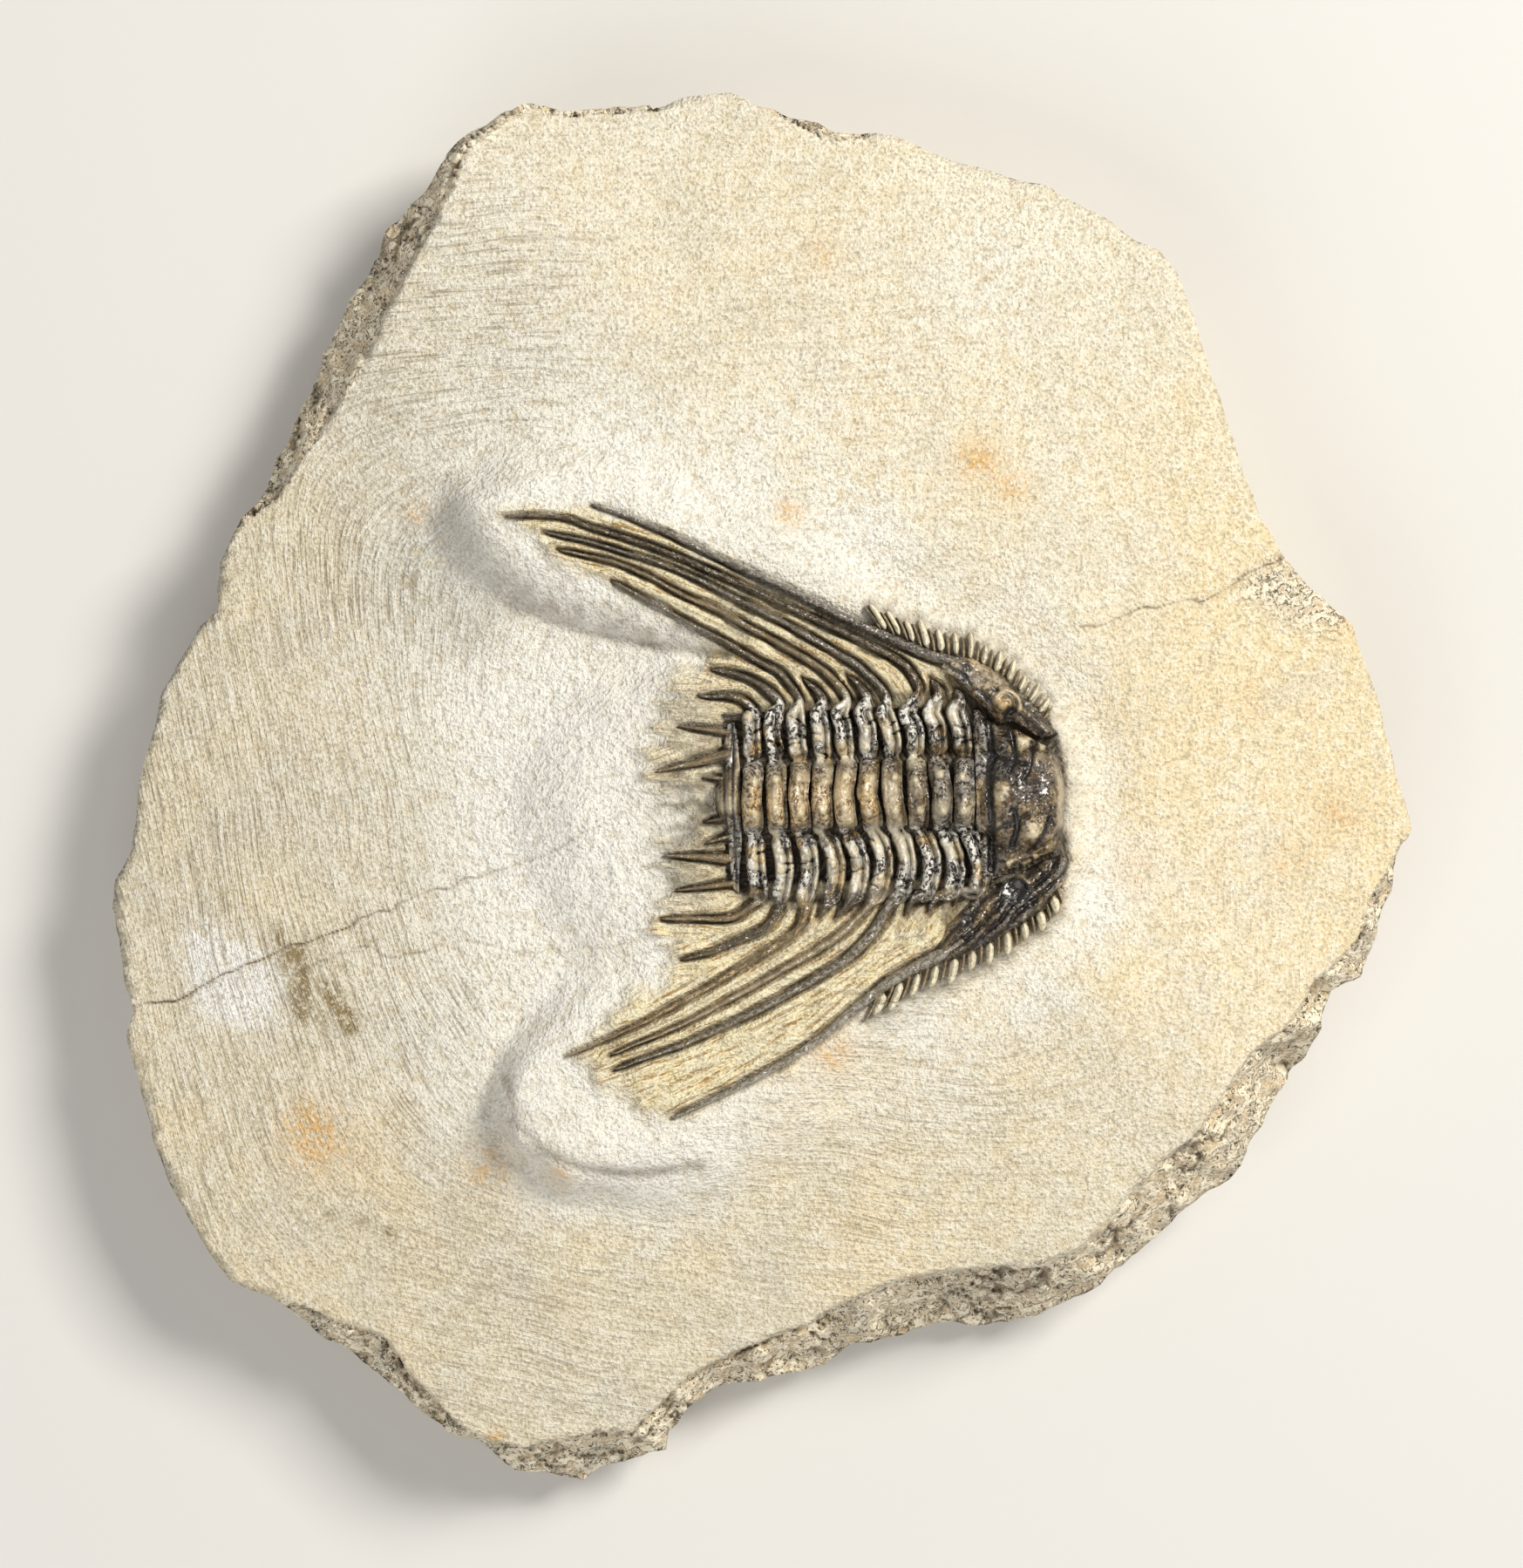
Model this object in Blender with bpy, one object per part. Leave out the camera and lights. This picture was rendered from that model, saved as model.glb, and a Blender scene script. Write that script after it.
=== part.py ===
"""A spiny trilobite, fossilised, lying on its prepared block of limestone.

Sizes are in millimetres until a mesh is made. The block lies on its flat underside at z = 0, the
prepared face looks up, and the animal's head points to +X, so its left side is on +Y.
"""
import math

import bpy
import numpy as np
from mathutils import Vector, noise
from mathutils.geometry import delaunay_2d_cdt

MM = 0.001
GAP = 0.3
FAR = 1e9
# How a value that varies along a loop spreads beside it: the nearest sides count most.
NEARBY = 0.1
NEARBY_POWER = 4.0

# The block from above, clockwise: x, y, and how wide the broken side shows there, from lip to outline.
BLOCK_OUTLINE = [
    (-5.0, 52.2, 0.0), (-2.3, 52.2, 0.0), (1.3, 51.3, 0.6), (5.5, 49.4, 0.8), (9.8, 49.0, 0.0),
    (15.0, 47.1, 0.0), (21.6, 45.1, 0.0), (28.2, 41.2, 0.0), (30.1, 40.4, 0.0), (31.4, 38.3, 0.0),
    (33.0, 33.2, 0.0), (35.2, 26.3, 0.0), (37.6, 20.1, 0.0), (38.6, 18.3, 0.0), (41.2, 15.1, 0.0),
    (44.3, 12.4, 0.0), (46.3, 6.4, 0.0), (47.9, 0.1, 0.0), (48.8, -2.8, 0.0), (48.4, -4.2, 0.4),
    (47.6, -6.2, 0.6), (46.9, -8.8, 1.4), (46.4, -11.9, 1.8), (44.9, -13.8, 2.0), (43.1, -15.5, 2.0),
    (42.0, -17.4, 2.0), (41.6, -19.3, 3.3), (40.4, -21.6, 5.0), (38.1, -25.7, 4.7), (35.5, -29.4, 4.9),
    (31.8, -32.2, 4.9), (28.8, -35.0, 4.1), (25.8, -37.3, 3.4), (21.9, -39.8, 4.8), (17.9, -40.8, 5.6),
    (14.6, -40.6, 4.7), (11.2, -41.1, 4.8), (7.3, -42.0, 3.7), (5.3, -43.6, 4.0), (2.3, -44.0, 3.5),
    (-0.7, -44.6, 2.7), (-3.7, -45.8, 2.4), (-7.2, -48.6, 1.9), (-7.5, -50.1, 2.4), (-11.3, -51.5, 4.0),
    (-13.2, -52.2, 3.9), (-18.6, -51.7, 2.3), (-21.6, -49.0, 0.6), (-23.8, -48.6, 1.5),
    (-27.6, -45.3, 2.0), (-29.9, -43.2, 2.8), (-33.2, -40.9, 1.5), (-36.8, -38.1, 0.0),
    (-39.9, -37.0, 0.0), (-41.5, -34.5, 0.0), (-44.5, -29.7, 0.0), (-46.8, -21.9, 0.0),
    (-47.7, -18.3, 0.0), (-47.3, -16.7, 0.0), (-48.6, -10.1, 0.0), (-48.8, -8.8, 0.0),
    (-48.5, -6.8, 0.0), (-47.3, -4.7, 0.0), (-46.7, 0.8, 0.0), (-45.0, 7.4, 0.0), (-42.2, 12.3, 0.0),
    (-40.6, 13.6, 0.0), (-40.7, 17.1, 0.0), (-38.9, 20.6, 0.5), (-36.9, 22.9, 1.2), (-34.6, 29.1, 2.8),
    (-32.3, 34.2, 3.6), (-31.0, 37.8, 3.8), (-27.0, 43.3, 3.0), (-24.4, 46.3, 2.0), (-22.4, 48.6, 0.8),
    (-19.1, 50.7, 0.5), (-17.2, 51.5, 0.4), (-14.2, 51.0, 0.5), (-7.6, 51.5, 0.5),
]
# The broken side drops this much for each millimetre of its width, most of it right under the lip.
BREAK_SLOPE = 1.5
BREAK_CURVE = 0.7
BREAK_FROM = 0.9
BREAK_ROWS = (0.9, 0.66, 0.36)
LEDGE_ROUGHNESS = 1.5
LEDGE_STEP = 1.2
FINE_LUMPS = 0.37
BROAD_LUMPS = 0.21
# The sides below the outline: share of the height, and how far in the stone is there, as a share.
SIDE_LEVELS = ((0.74, 0.006), (0.66, 0.02), (0.3, 0.026), (0.0, 0.055))
SIDE_ROUGHNESS = 0.04

# How close the points of the stone's surface lie: on the outline, the ground, the bed, its crest and
# the stone that fills the body.
OUTLINE_STEP = 3.0
GROUND_STEP = 3.6
BED_STEP = 2.0
CREST_STEP = 1.6
BODY_STEP = 1.25
BLOCK_REACH = 54.0

# The ground face is a few flat facets that meet in soft creases: height at a point, and its slopes.
GROUND_FACETS = {
    "crown": (16.3, 0.0, 0.0, 0.01, 0.0),
    "right": (16.3, 24.0, 0.0, -0.165, 0.0),
    "top": (16.3, 0.0, 22.0, 0.0, -0.15),
    "left": (13.4, -24.0, 0.0, 0.2, 0.0),
    "bowl": (15.8, -4.0, 0.0, 0.125, 0.0),
    "bottom": (13.6, 0.0, -29.0, 0.0, 0.2),
    "lower_left": (12.8, -25.0, -25.0, 0.14, 0.14),
}
CREASE = 0.5

# The raised bed left under the animal and its two fans of spines, from the head round by its left
# side: x, y, and how far out its flank takes to fall to the ground.
BED_EDGE = [
    (23.0, 0.1, 1.6), (22.7, 3.1, 1.6), (21.0, 6.0, 1.6), (18.1, 8.7, 1.6), (15.7, 10.2, 2.0),
    (12.8, 11.2, 3.0), (9.1, 12.9, 4.0), (4.2, 15.6, 4.5), (0.4, 17.5, 5.0), (-5.2, 19.4, 5.0),
    (-10.2, 21.8, 5.0), (-13.6, 22.5, 4.6), (-17.6, 22.0, 4.2), (-20.3, 20.7, 4.6), (-19.2, 19.0, 4.8),
    (-14.9, 16.8, 5.4), (-11.0, 14.7, 5.0), (-7.1, 12.6, 3.6), (-3.3, 10.2, 2.2), (-2.6, 9.0, 1.6),
    (-5.2, 7.8, 4.0), (-8.0, 5.0, 7.0), (-8.6, 0.5, 9.0), (-8.4, -3.4, 9.0), (-8.2, -7.3, 8.0),
    (-8.1, -9.9, 6.0), (-6.2, -12.6, 5.0), (-8.4, -15.0, 5.0), (-11.7, -17.1, 4.6), (-14.8, -19.2, 4.0),
    (-16.7, -20.7, 3.0), (-18.1, -23.1, 2.6), (-17.5, -25.7, 2.2), (-13.6, -27.0, 2.0), (-7.1, -26.4, 2.4),
    (-2.6, -24.2, 3.4), (2.2, -21.8, 4.0), (6.8, -18.2, 4.0), (11.0, -14.9, 3.0), (14.8, -13.0, 1.8),
    (18.1, -11.7, 1.6), (21.3, -9.1, 1.6), (23.3, -5.3, 1.6),
]
BED_HEIGHT = 16.5
STEEP_FLANK = 5.0
FLANK_ROWS = (0.35, 0.68, 1.0)
# The hollow scraped round the bed, and where it fades out behind the head.
MOAT_DEPTH = 1.0
MOAT_FROM = 2.4
MOAT_WIDTH = 1.8
MOAT_FADE = (-12.0, 2.0)

# The animal's own frame: the tail end, the way the body points, and its length to the head's front.
TAIL = (-3.4, -0.6)
BODY_TURN = math.radians(1.6)
BODY_LENGTH = 26.1
CORE_RISE = 1.5
CORE_HALF_WIDTH = 4.5
CORE_TAIL_END = 2.5
CORE_HEAD_END = (0.5, 4.0)

# The thorax: ten segments of one pitch, and the height of a segment over the bed, out from the axis.
SEGMENTS = 10
THORAX_FRONT = 19.4
PITCH = 1.726
AXIS_PROFILE = [(0.0, 3.3), (1.2, 3.05), (2.0, 2.5), (2.55, 1.75), (2.85, 1.35), (3.5, 1.65), (5.0, 1.7)]
LEFT_FULCRUM = [(6.0, 1.5)]
RIGHT_FULCRUM = [(6.0, 1.55), (7.4, 1.3)]
RING_HALF_WIDTH = 2.6
RING_CREST = 1.04
PLEURA_FURROW = 0.72
SPINE_CREST = 1.15
SPINE_HEIGHT = (0.35, 0.75)

# The spine at each end of a segment, from the pleura out, and its width at the root and near the tip.
LEFT_SPINES = [
    ([(14.9, 6.9), (14.5, 7.7)], 0.9, 0.2),
    ([(13.4, 7.2), (12.7, 8.4)], 0.9, 0.2),
    ([(11.9, 7.6), (10.9, 9.2), (9.1, 10.4), (6.6, 11.6), (4.5, 12.6), (1.9, 13.8), (-0.7, 15.0),
      (-4.5, 16.7), (-7.1, 17.8), (-9.7, 18.7), (-12.3, 19.5), (-14.9, 20.3), (-18.9, 20.4)], 0.62, 0.4),
    ([(9.5, 6.9), (8.9, 7.8), (7.4, 9.2), (6.1, 10.0), (4.8, 10.8), (2.9, 11.9), (0.0, 13.4),
      (-2.0, 14.4), (-4.5, 15.7), (-7.1, 16.8), (-9.7, 17.6), (-12.3, 18.4), (-16.0, 19.2)], 0.62, 0.3),
    ([(8.0, 6.9), (7.4, 7.8), (6.5, 8.6)], 0.8, 0.2),
    ([(6.5, 6.9), (5.5, 8.2), (4.5, 9.1), (1.9, 10.7), (-0.7, 12.1), (-3.3, 13.5), (-5.8, 14.6),
      (-8.4, 16.0), (-11.0, 17.0), (-14.9, 17.9)], 0.66, 0.25),
    ([(4.7, 6.7), (4.1, 7.6), (3.2, 8.4)], 0.8, 0.2),
    ([(3.0, 6.8), (2.3, 7.9), (1.5, 8.8), (0.0, 9.6), (-2.6, 11.1), (-4.5, 12.1), (-7.1, 13.5),
      (-11.0, 15.6)], 0.6, 0.25),
    ([(1.5, 6.6), (0.6, 7.5), (-0.5, 8.2), (-2.0, 8.7), (-3.6, 9.0)], 0.7, 0.3),
    ([(-0.4, 6.0), (-1.6, 6.9), (-4.5, 7.0)], 0.7, 0.2),
]
RIGHT_SPINES = [
    ([(14.9, -7.6), (14.4, -8.6)], 0.8, 0.2),
    ([(13.2, -7.9), (12.5, -9.1)], 0.8, 0.2),
    ([(11.5, -8.0), (10.8, -9.3)], 0.8, 0.2),
    ([(9.6, -8.6), (8.6, -10.3), (6.8, -12.2), (4.5, -13.7), (1.9, -15.2), (-0.7, -16.6), (-3.3, -17.8),
      (-5.8, -18.9), (-8.4, -19.8), (-10.8, -20.7)], 0.95, 0.4),
    ([(8.0, -8.6), (6.5, -10.2), (4.5, -11.7), (1.9, -13.2), (-0.7, -14.7), (-3.3, -16.1), (-5.8, -17.4),
      (-8.4, -18.5), (-11.0, -19.6)], 0.7, 0.25),
    ([(6.4, -8.6), (5.6, -9.5)], 0.8, 0.2),
    ([(4.9, -8.5), (4.4, -9.4)], 0.7, 0.2),
    ([(3.4, -8.9), (2.9, -10.2), (1.5, -11.3), (-0.7, -12.7), (-3.3, -14.3), (-5.8, -15.7), (-8.4, -17.1),
      (-11.0, -18.3), (-14.4, -19.7)], 0.7, 0.25),
    ([(1.5, -8.8), (0.4, -10.2), (-2.0, -11.3), (-3.6, -12.0), (-5.8, -12.5)], 0.75, 0.25),
    ([(-0.3, -8.3), (-2.0, -9.4), (-4.5, -9.5), (-7.3, -9.5)], 0.7, 0.25),
]

# The tail shield: its margin, and its spines as root, tip and width at the root.
TAIL_MARGIN = [
    (-1.75, 5.1), (-2.3, 4.9), (-2.6, 3.4), (-2.7, 1.0), (-3.4, 0.2), (-3.5, -1.2), (-2.7, -2.2),
    (-2.3, -3.6), (-2.1, -5.6), (-1.9, -7.2), (-1.5, -7.6), (-1.4, -5.0), (-1.45, 0.0), (-1.6, 4.0),
]
TAIL_SPINES = [
    ((-2.4, 4.3), (-6.0, 4.8), 0.6), ((-2.6, 2.6), (-7.7, 1.4), 0.95), ((-2.9, 0.9), (-4.2, 1.0), 0.5),
    ((-2.8, -2.0), (-4.0, -2.3), 0.5), ((-2.4, -3.4), (-4.0, -3.9), 0.5), ((-2.2, -5.0), (-7.1, -4.8), 0.9),
    ((-1.9, -6.9), (-6.2, -7.4), 0.6),
]
TAIL_TOP = 0.9
TAIL_AXIS_RISE = 1.1
TAIL_MARGIN_ALONG = -0.2
TAIL_MIDDLE = (-2.2, -1.0)
TAIL_REACH = 7.0
SHORT_SPINE_HEIGHT = 0.55

# The head's middle shield: its margin, and the domed glabella with its lobes.
HEAD_MARGIN = [
    (21.9, 3.1), (22.4, 1.8), (22.7, 0.2), (22.6, -2.6), (22.1, -4.4), (20.9, -4.9), (19.8, -5.5),
    (18.2, -6.3), (17.2, -6.8), (16.7, -7.2), (16.4, -7.0), (16.35, -5.0), (16.3, -2.8), (16.25, 0.0),
    (16.2, 2.6), (16.1, 4.6), (16.05, 6.0), (16.3, 6.0), (16.9, 5.4), (18.0, 4.5), (19.1, 4.5),
    (19.9, 4.0), (20.9, 3.5),
]
GLABELLA = ((19.6, -0.6), (3.4, 3.9), 2.8)
HEAD_LOBES = [
    ((20.2, -2.9), 1.3, 0.5), ((17.9, 0.1), 0.7, 0.6), ((20.4, 2.7), 1.0, 0.5), ((18.0, 3.4), 1.0, 0.8),
    ((18.2, -4.7), 1.1, 0.7), ((21.0, -0.2), 1.4, 0.4),
]
HEAD_TOP = 1.3
DOME_CURVE = 0.6
LOBE_SHARE = 0.7

# The free cheeks: outer rim and inner edge, the genal spine behind, the eye and the border spines.
LEFT_RIM = [(22.2, 4.2), (21.4, 5.0), (20.7, 6.0), (19.7, 7.0), (18.5, 8.2), (17.3, 9.0), (15.8, 9.8)]
LEFT_INNER = [(14.6, 8.2), (15.7, 7.1), (17.0, 6.1), (17.9, 5.2), (19.1, 5.2), (20.0, 4.7), (21.0, 4.1)]
LEFT_GENAL = [
    (15.5, 9.4), (12.8, 10.0), (10.9, 10.8), (8.4, 11.9), (5.8, 13.1), (3.2, 14.4), (0.6, 15.6),
    (-2.0, 16.8), (-4.5, 18.0), (-7.1, 19.2), (-9.7, 20.3), (-12.4, 21.2),
]
LEFT_GENAL_WIDTH = (0.95, 0.45)
LEFT_EYE = (18.3, 6.4)
RIGHT_RIM = [(23.0, -5.2), (22.6, -6.8), (21.2, -8.7), (19.4, -10.0), (17.4, -11.1), (15.9, -11.9)]
RIGHT_INNER = [(14.3, -9.7), (15.2, -8.7), (16.3, -7.9), (17.5, -7.2), (18.6, -6.7), (20.1, -5.9),
               (21.1, -5.3), (22.3, -4.9)]
RIGHT_GENAL = [
    (15.2, -11.0), (13.2, -12.3), (10.3, -13.8), (8.4, -15.2), (5.8, -17.3), (4.5, -18.4), (1.9, -20.1),
    (-0.7, -21.5), (-3.3, -22.8), (-6.5, -24.3),
]
RIGHT_GENAL_WIDTH = (1.3, 0.6)
RIGHT_EYE = (19.0, -7.3)
EYE_RADIUS = 1.1
EYE_RING = 0.6
EYE_RISE = 1.3
CRUSHED_EYE_RISE = 0.2
CHEEK_TOP = 1.3
CHEEK_BORDER = 0.25
CHEEK_BACK = 15.0
GENAL_HEIGHT = 0.95
# The fringe of short spines: how many, headings at the front and behind in degrees, and lengths.
LEFT_FRINGE = (14, (49.0, 128.0), (1.1, 1.9))
RIGHT_FRINGE = (12, (-70.0, -120.0), (1.0, 1.9))
BORDER_SPINE_WIDTH = 0.42
# A short spine: where its crest line's points lie, and the room left beside its root on a side of
# the margin, both as shares of a length.
CREST_SHARES = (0.0, 0.5, 0.85)
ROOT_ROOM = 0.01

PLATE_EDGE = 0.4
# How close the points of the shields lie, on the outside and underneath, and how far from the margin.
TAIL_STEP = 0.6
HEAD_STEP = 0.75
CHEEK_STEP = 0.9
FLOOR_STEP = 1.3
MARGIN_CLEAR = 0.3


def smooth_step(start, end, value):
    share = np.clip((value - start) / (end - start), 0.0, 1.0)
    return share * share * (3.0 - 2.0 * share)


def to_loop(x, y, loop):
    """The distance to a closed loop, the loop's third number nearby, and whether inside."""
    near = np.full(x.shape, FAR)
    total = np.zeros(x.shape)
    weights = np.zeros(x.shape)
    inside = np.zeros(x.shape, bool)
    for (ax, ay, av), (bx, by, bv) in zip(loop, loop[1:] + loop[:1]):
        dx, dy = bx - ax, by - ay
        share = np.clip(((x - ax) * dx + (y - ay) * dy) / (dx * dx + dy * dy), 0.0, 1.0)
        away = np.hypot(x - ax - share * dx, y - ay - share * dy)
        near = np.minimum(near, away)
        weight = (away + NEARBY) ** -NEARBY_POWER
        weights += weight
        total += weight * (av + share * (bv - av))
        if ay != by:
            crosses = ((ay > y) != (by > y)) & (x < ax + (y - ay) * dx / dy)
            inside ^= crosses
    return near, total / weights, inside


def on_body(along, across):
    """A point given from the tail end forward and out to the animal's left, as x and y."""
    x = TAIL[0] + along * math.cos(BODY_TURN) - across * math.sin(BODY_TURN)
    y = TAIL[1] + along * math.sin(BODY_TURN) + across * math.cos(BODY_TURN)
    return x, y


def body_place(x, y):
    """The same the other way round: how far forward of the tail end, and how far to the left."""
    dx, dy = x - TAIL[0], y - TAIL[1]
    along = dx * math.cos(BODY_TURN) + dy * math.sin(BODY_TURN)
    across = dy * math.cos(BODY_TURN) - dx * math.sin(BODY_TURN)
    return along, across


def ground(x, y):
    total = 0.0
    for height, at_x, at_y, slope_x, slope_y in GROUND_FACETS.values():
        facet = height + slope_x * (x - at_x) + slope_y * (y - at_y)
        total = total + np.exp(-facet / CREASE)
    return -CREASE * np.log(total)


def bed(x, y):
    """The bed with the stone that fills the arched body from below."""
    along, across = body_place(x, y)
    arch = np.cos(np.clip(across / CORE_HALF_WIDTH, -1.0, 1.0) * math.pi / 2) ** 2
    from_head = BODY_LENGTH - along
    length = smooth_step(0.0, CORE_TAIL_END, along) * smooth_step(*CORE_HEAD_END, from_head)
    return BED_HEIGHT + CORE_RISE * arch * length


def stone_top(x, y):
    """The height of the prepared face and of the broken side down to the block's outline."""
    floor = ground(x, y)
    away, flank, inside = to_loop(x, y, BED_EDGE)
    away = np.where(inside, 0.0, away)
    raised = smooth_step(1.0, 0.0, away / flank)
    moat = MOAT_DEPTH * np.exp(-(((away - MOAT_FROM) / MOAT_WIDTH) ** 2)) * (away > 0)
    moat = moat * smooth_step(0.0, 1.0, away) * smooth_step(*MOAT_FADE, x)
    height = floor + (bed(x, y) - floor) * raised - moat
    edge, band, _ = to_loop(x, y, BLOCK_OUTLINE)
    share = np.clip(1.0 - edge / np.maximum(band, 0.01), 0.0, 1.0)
    return height - BREAK_SLOPE * band * share ** BREAK_CURVE


def top_at(x, y):
    return float(stone_top(np.array([float(x)]), np.array([float(y)]))[0])


def triangulate(loop, extra, ridges=()):
    """Triangles that fill a loop of points, through the extra points and along the ridges."""
    points = list(loop)
    edges = [(i, (i + 1) % len(loop)) for i in range(len(loop))]
    for ridge in ridges:
        start = len(points)
        points += ridge
        edges += [(start + i, start + i + 1) for i in range(len(ridge) - 1)]
    points += extra
    found = delaunay_2d_cdt([Vector(p) for p in points], edges, [], 1, 1e-5)
    return [(p.x, p.y) for p in found[0]], [tuple(face) for face in found[2]]


def shade(obj, colour, roughness, name):
    """The piece's own finish, and smooth shading that breaks at its sharp edges."""
    material = bpy.data.materials.new(name)
    material.use_nodes = True
    shader = material.node_tree.nodes["Principled BSDF"]
    shader.inputs["Base Color"].default_value = (*colour, 1.0)
    shader.inputs["Roughness"].default_value = roughness
    shader.inputs["Metallic"].default_value = 0.0
    obj.data.materials.append(material)
    obj.data.shade_smooth()
    obj.data.set_sharp_from_angle(angle=math.radians(35))


def add_object(name, verts, faces):
    mesh = bpy.data.meshes.new(name)
    mesh.from_pydata([(x * MM, y * MM, z * MM) for x, y, z in verts], [], faces)
    mesh.validate()
    obj = bpy.data.objects.new(name, mesh)
    bpy.context.scene.collection.objects.link(obj)
    return obj


def resample(loop, step):
    """The loop with points added so that none are further apart than the step."""
    found = []
    for a, b in zip(loop, loop[1:] + loop[:1]):
        count = max(1, math.ceil(math.dist(a[:2], b[:2]) / step))
        for i in range(count):
            found.append(tuple(p + (q - p) * i / count for p, q in zip(a, b)))
    return found


def grid(low, high, step):
    """Points of a triangular grid over a box."""
    rows = int((high[1] - low[1]) / (step * 0.87)) + 1
    columns = int((high[0] - low[0]) / step) + 1
    for row in range(rows):
        for column in range(columns):
            yield low[0] + (column + 0.5 * (row % 2)) * step, low[1] + row * step * 0.87


def beside(loop, at, distance):
    """The place that far to the right of a point of a loop, as one walks along the loop."""
    before, after = loop[at - 1], loop[(at + 1) % len(loop)]
    dx, dy = after[0] - before[0], after[1] - before[1]
    length = math.hypot(dx, dy)
    return loop[at][0] + dy / length * distance, loop[at][1] - dx / length * distance


def clear_of(points, taken, reach):
    """The points that lie no closer than the reach to those already taken."""
    from_x, from_y = np.array(taken).T
    return [(x, y) for x, y in points if np.hypot(from_x - x, from_y - y).min() > reach]


def bed_lines():
    """The crest of the bed as a closed line, and points in rows down its flank."""
    crest = resample(BED_EDGE, CREST_STEP)
    rows = []
    for i, (_, _, flank) in enumerate(crest):
        out = min(flank, STEEP_FLANK)
        rows += [(*beside(crest, i, share * out), share * out) for share in FLANK_ROWS]
    x, y, wanted = np.array(rows).T
    away, _, inside = to_loop(x, y, BED_EDGE)
    kept = ~inside & (abs(away - wanted) < 0.1 * STEEP_FLANK)
    line = [point[:2] for point in crest + crest[:1]]
    return line, [row[:2] for row, keep in zip(rows, kept) if keep]


def break_lines(outline):
    """The lips of the broken sides as open lines, and points in rows below them."""
    lips, rows = [], []
    at_lip = False
    for i, (_, _, band) in enumerate(outline):
        if band < BREAK_FROM:
            at_lip = False
            continue
        if not at_lip:
            lips.append([])
        at_lip = True
        lips[-1].append(beside(outline, i, band))
        rows += [beside(outline, i, share * band) for share in BREAK_ROWS]
    x, y = np.array(rows).T
    edge, _, within = to_loop(x, y, outline)
    return lips, [p for p, away, inside in zip(rows, edge, within) if inside and away > 0.1 * OUTLINE_STEP]


def spread_over_block(outline, taken):
    """Points for the prepared face: close together under the body, wide apart on the open ground."""
    found = []
    for zone, step in enumerate((BODY_STEP, BED_STEP, GROUND_STEP)):
        points = list(grid((-BLOCK_REACH, -BLOCK_REACH), (BLOCK_REACH, BLOCK_REACH), step))
        x, y = np.array(points).T
        along, across = body_place(x, y)
        under_body = (abs(across) < CORE_HALF_WIDTH + BODY_STEP) & (along > 0.0) & (along < BODY_LENGTH)
        away, _, inside = to_loop(x, y, BED_EDGE)
        zones = np.where(under_body, 0, np.where(inside | (away < STEEP_FLANK), 1, 2))
        edge, band, within = to_loop(x, y, outline)
        kept = (zones == zone) & within & (edge > np.maximum(0.4 * step, band + 0.2 * step))
        found += clear_of([p for p, keep in zip(points, kept) if keep], taken, 0.5 * step)
    return found


def ledge(x, y):
    """Uneven relief of the broken stone, in steps like its bedding."""
    rough = noise.noise(Vector((x, y, 0.0)) * FINE_LUMPS)
    layers = round(noise.noise(Vector((x, y, 30.0)) * BROAD_LUMPS) * 2.5) / 2.5
    return LEDGE_ROUGHNESS * rough + LEDGE_STEP * layers


def build_matrix():
    """The block of limestone: prepared face, broken sides, and the flat underside that it rests on."""
    outline = resample(BLOCK_OUTLINE, OUTLINE_STEP)
    crest, flank = bed_lines()
    lips, below_lips = break_lines(outline)
    taken = crest + flank + below_lips + [point for lip in lips for point in lip]
    inner = spread_over_block(outline, taken) + flank + below_lips
    points, faces = triangulate([p[:2] for p in outline], inner, [crest] + lips)
    x, y = np.array(points).T
    edge, band, _ = to_loop(x, y, outline)
    broken = (edge > 0.0) & (edge < 0.95 * band) & (band > BREAK_FROM)
    verts = [(px, py, height + (ledge(px, py) if rough else 0.0))
             for px, py, height, rough in zip(x, y, stone_top(x, y), broken)]
    count = len(outline)
    rings = [tuple(range(count))]
    for level, inset in SIDE_LEVELS:
        base = len(verts)
        for px, py, pz in verts[:count]:
            rough = SIDE_ROUGHNESS * abs(noise.noise(Vector((px, py, level * pz)) * BROAD_LUMPS))
            scale = 1.0 - inset - rough
            verts.append((px * scale, py * scale, pz * level))
        rings.append(tuple(range(base, base + count)))
    tops = [face if is_up(verts, face) else face[::-1] for face in faces]
    sides = []
    for upper, lower in zip(rings, rings[1:]):
        for i in range(count):
            j = (i + 1) % count
            sides.append((upper[i], upper[j], lower[j], lower[i]))
    _, floor_faces = triangulate([verts[i][:2] for i in rings[-1]], [])
    floors = [tuple(rings[-1][i] for i in face) for face in floor_faces]
    floors = [face[::-1] if is_up(verts, face) else face for face in floors]
    obj = add_object("matrix", verts, tops + sides + floors)
    shade(obj, (0.62, 0.54, 0.40), 0.85, "limestone")


def is_up(verts, face):
    a, b, c = (verts[i] for i in face[:3])
    return (b[0] - a[0]) * (c[1] - a[1]) - (b[1] - a[1]) * (c[0] - a[0]) > 0


# A bar's section, seen along it: share of its width to the side, share of its height. The middle
# one of the upper corners is the furrow of a pleura or the crest of a spine.
SECTION = ((0.0, 0.0), (0.5, 0.35), (0.34, 1.0), (0.0, None), (-0.34, 1.0), (-0.5, 0.35))


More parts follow.
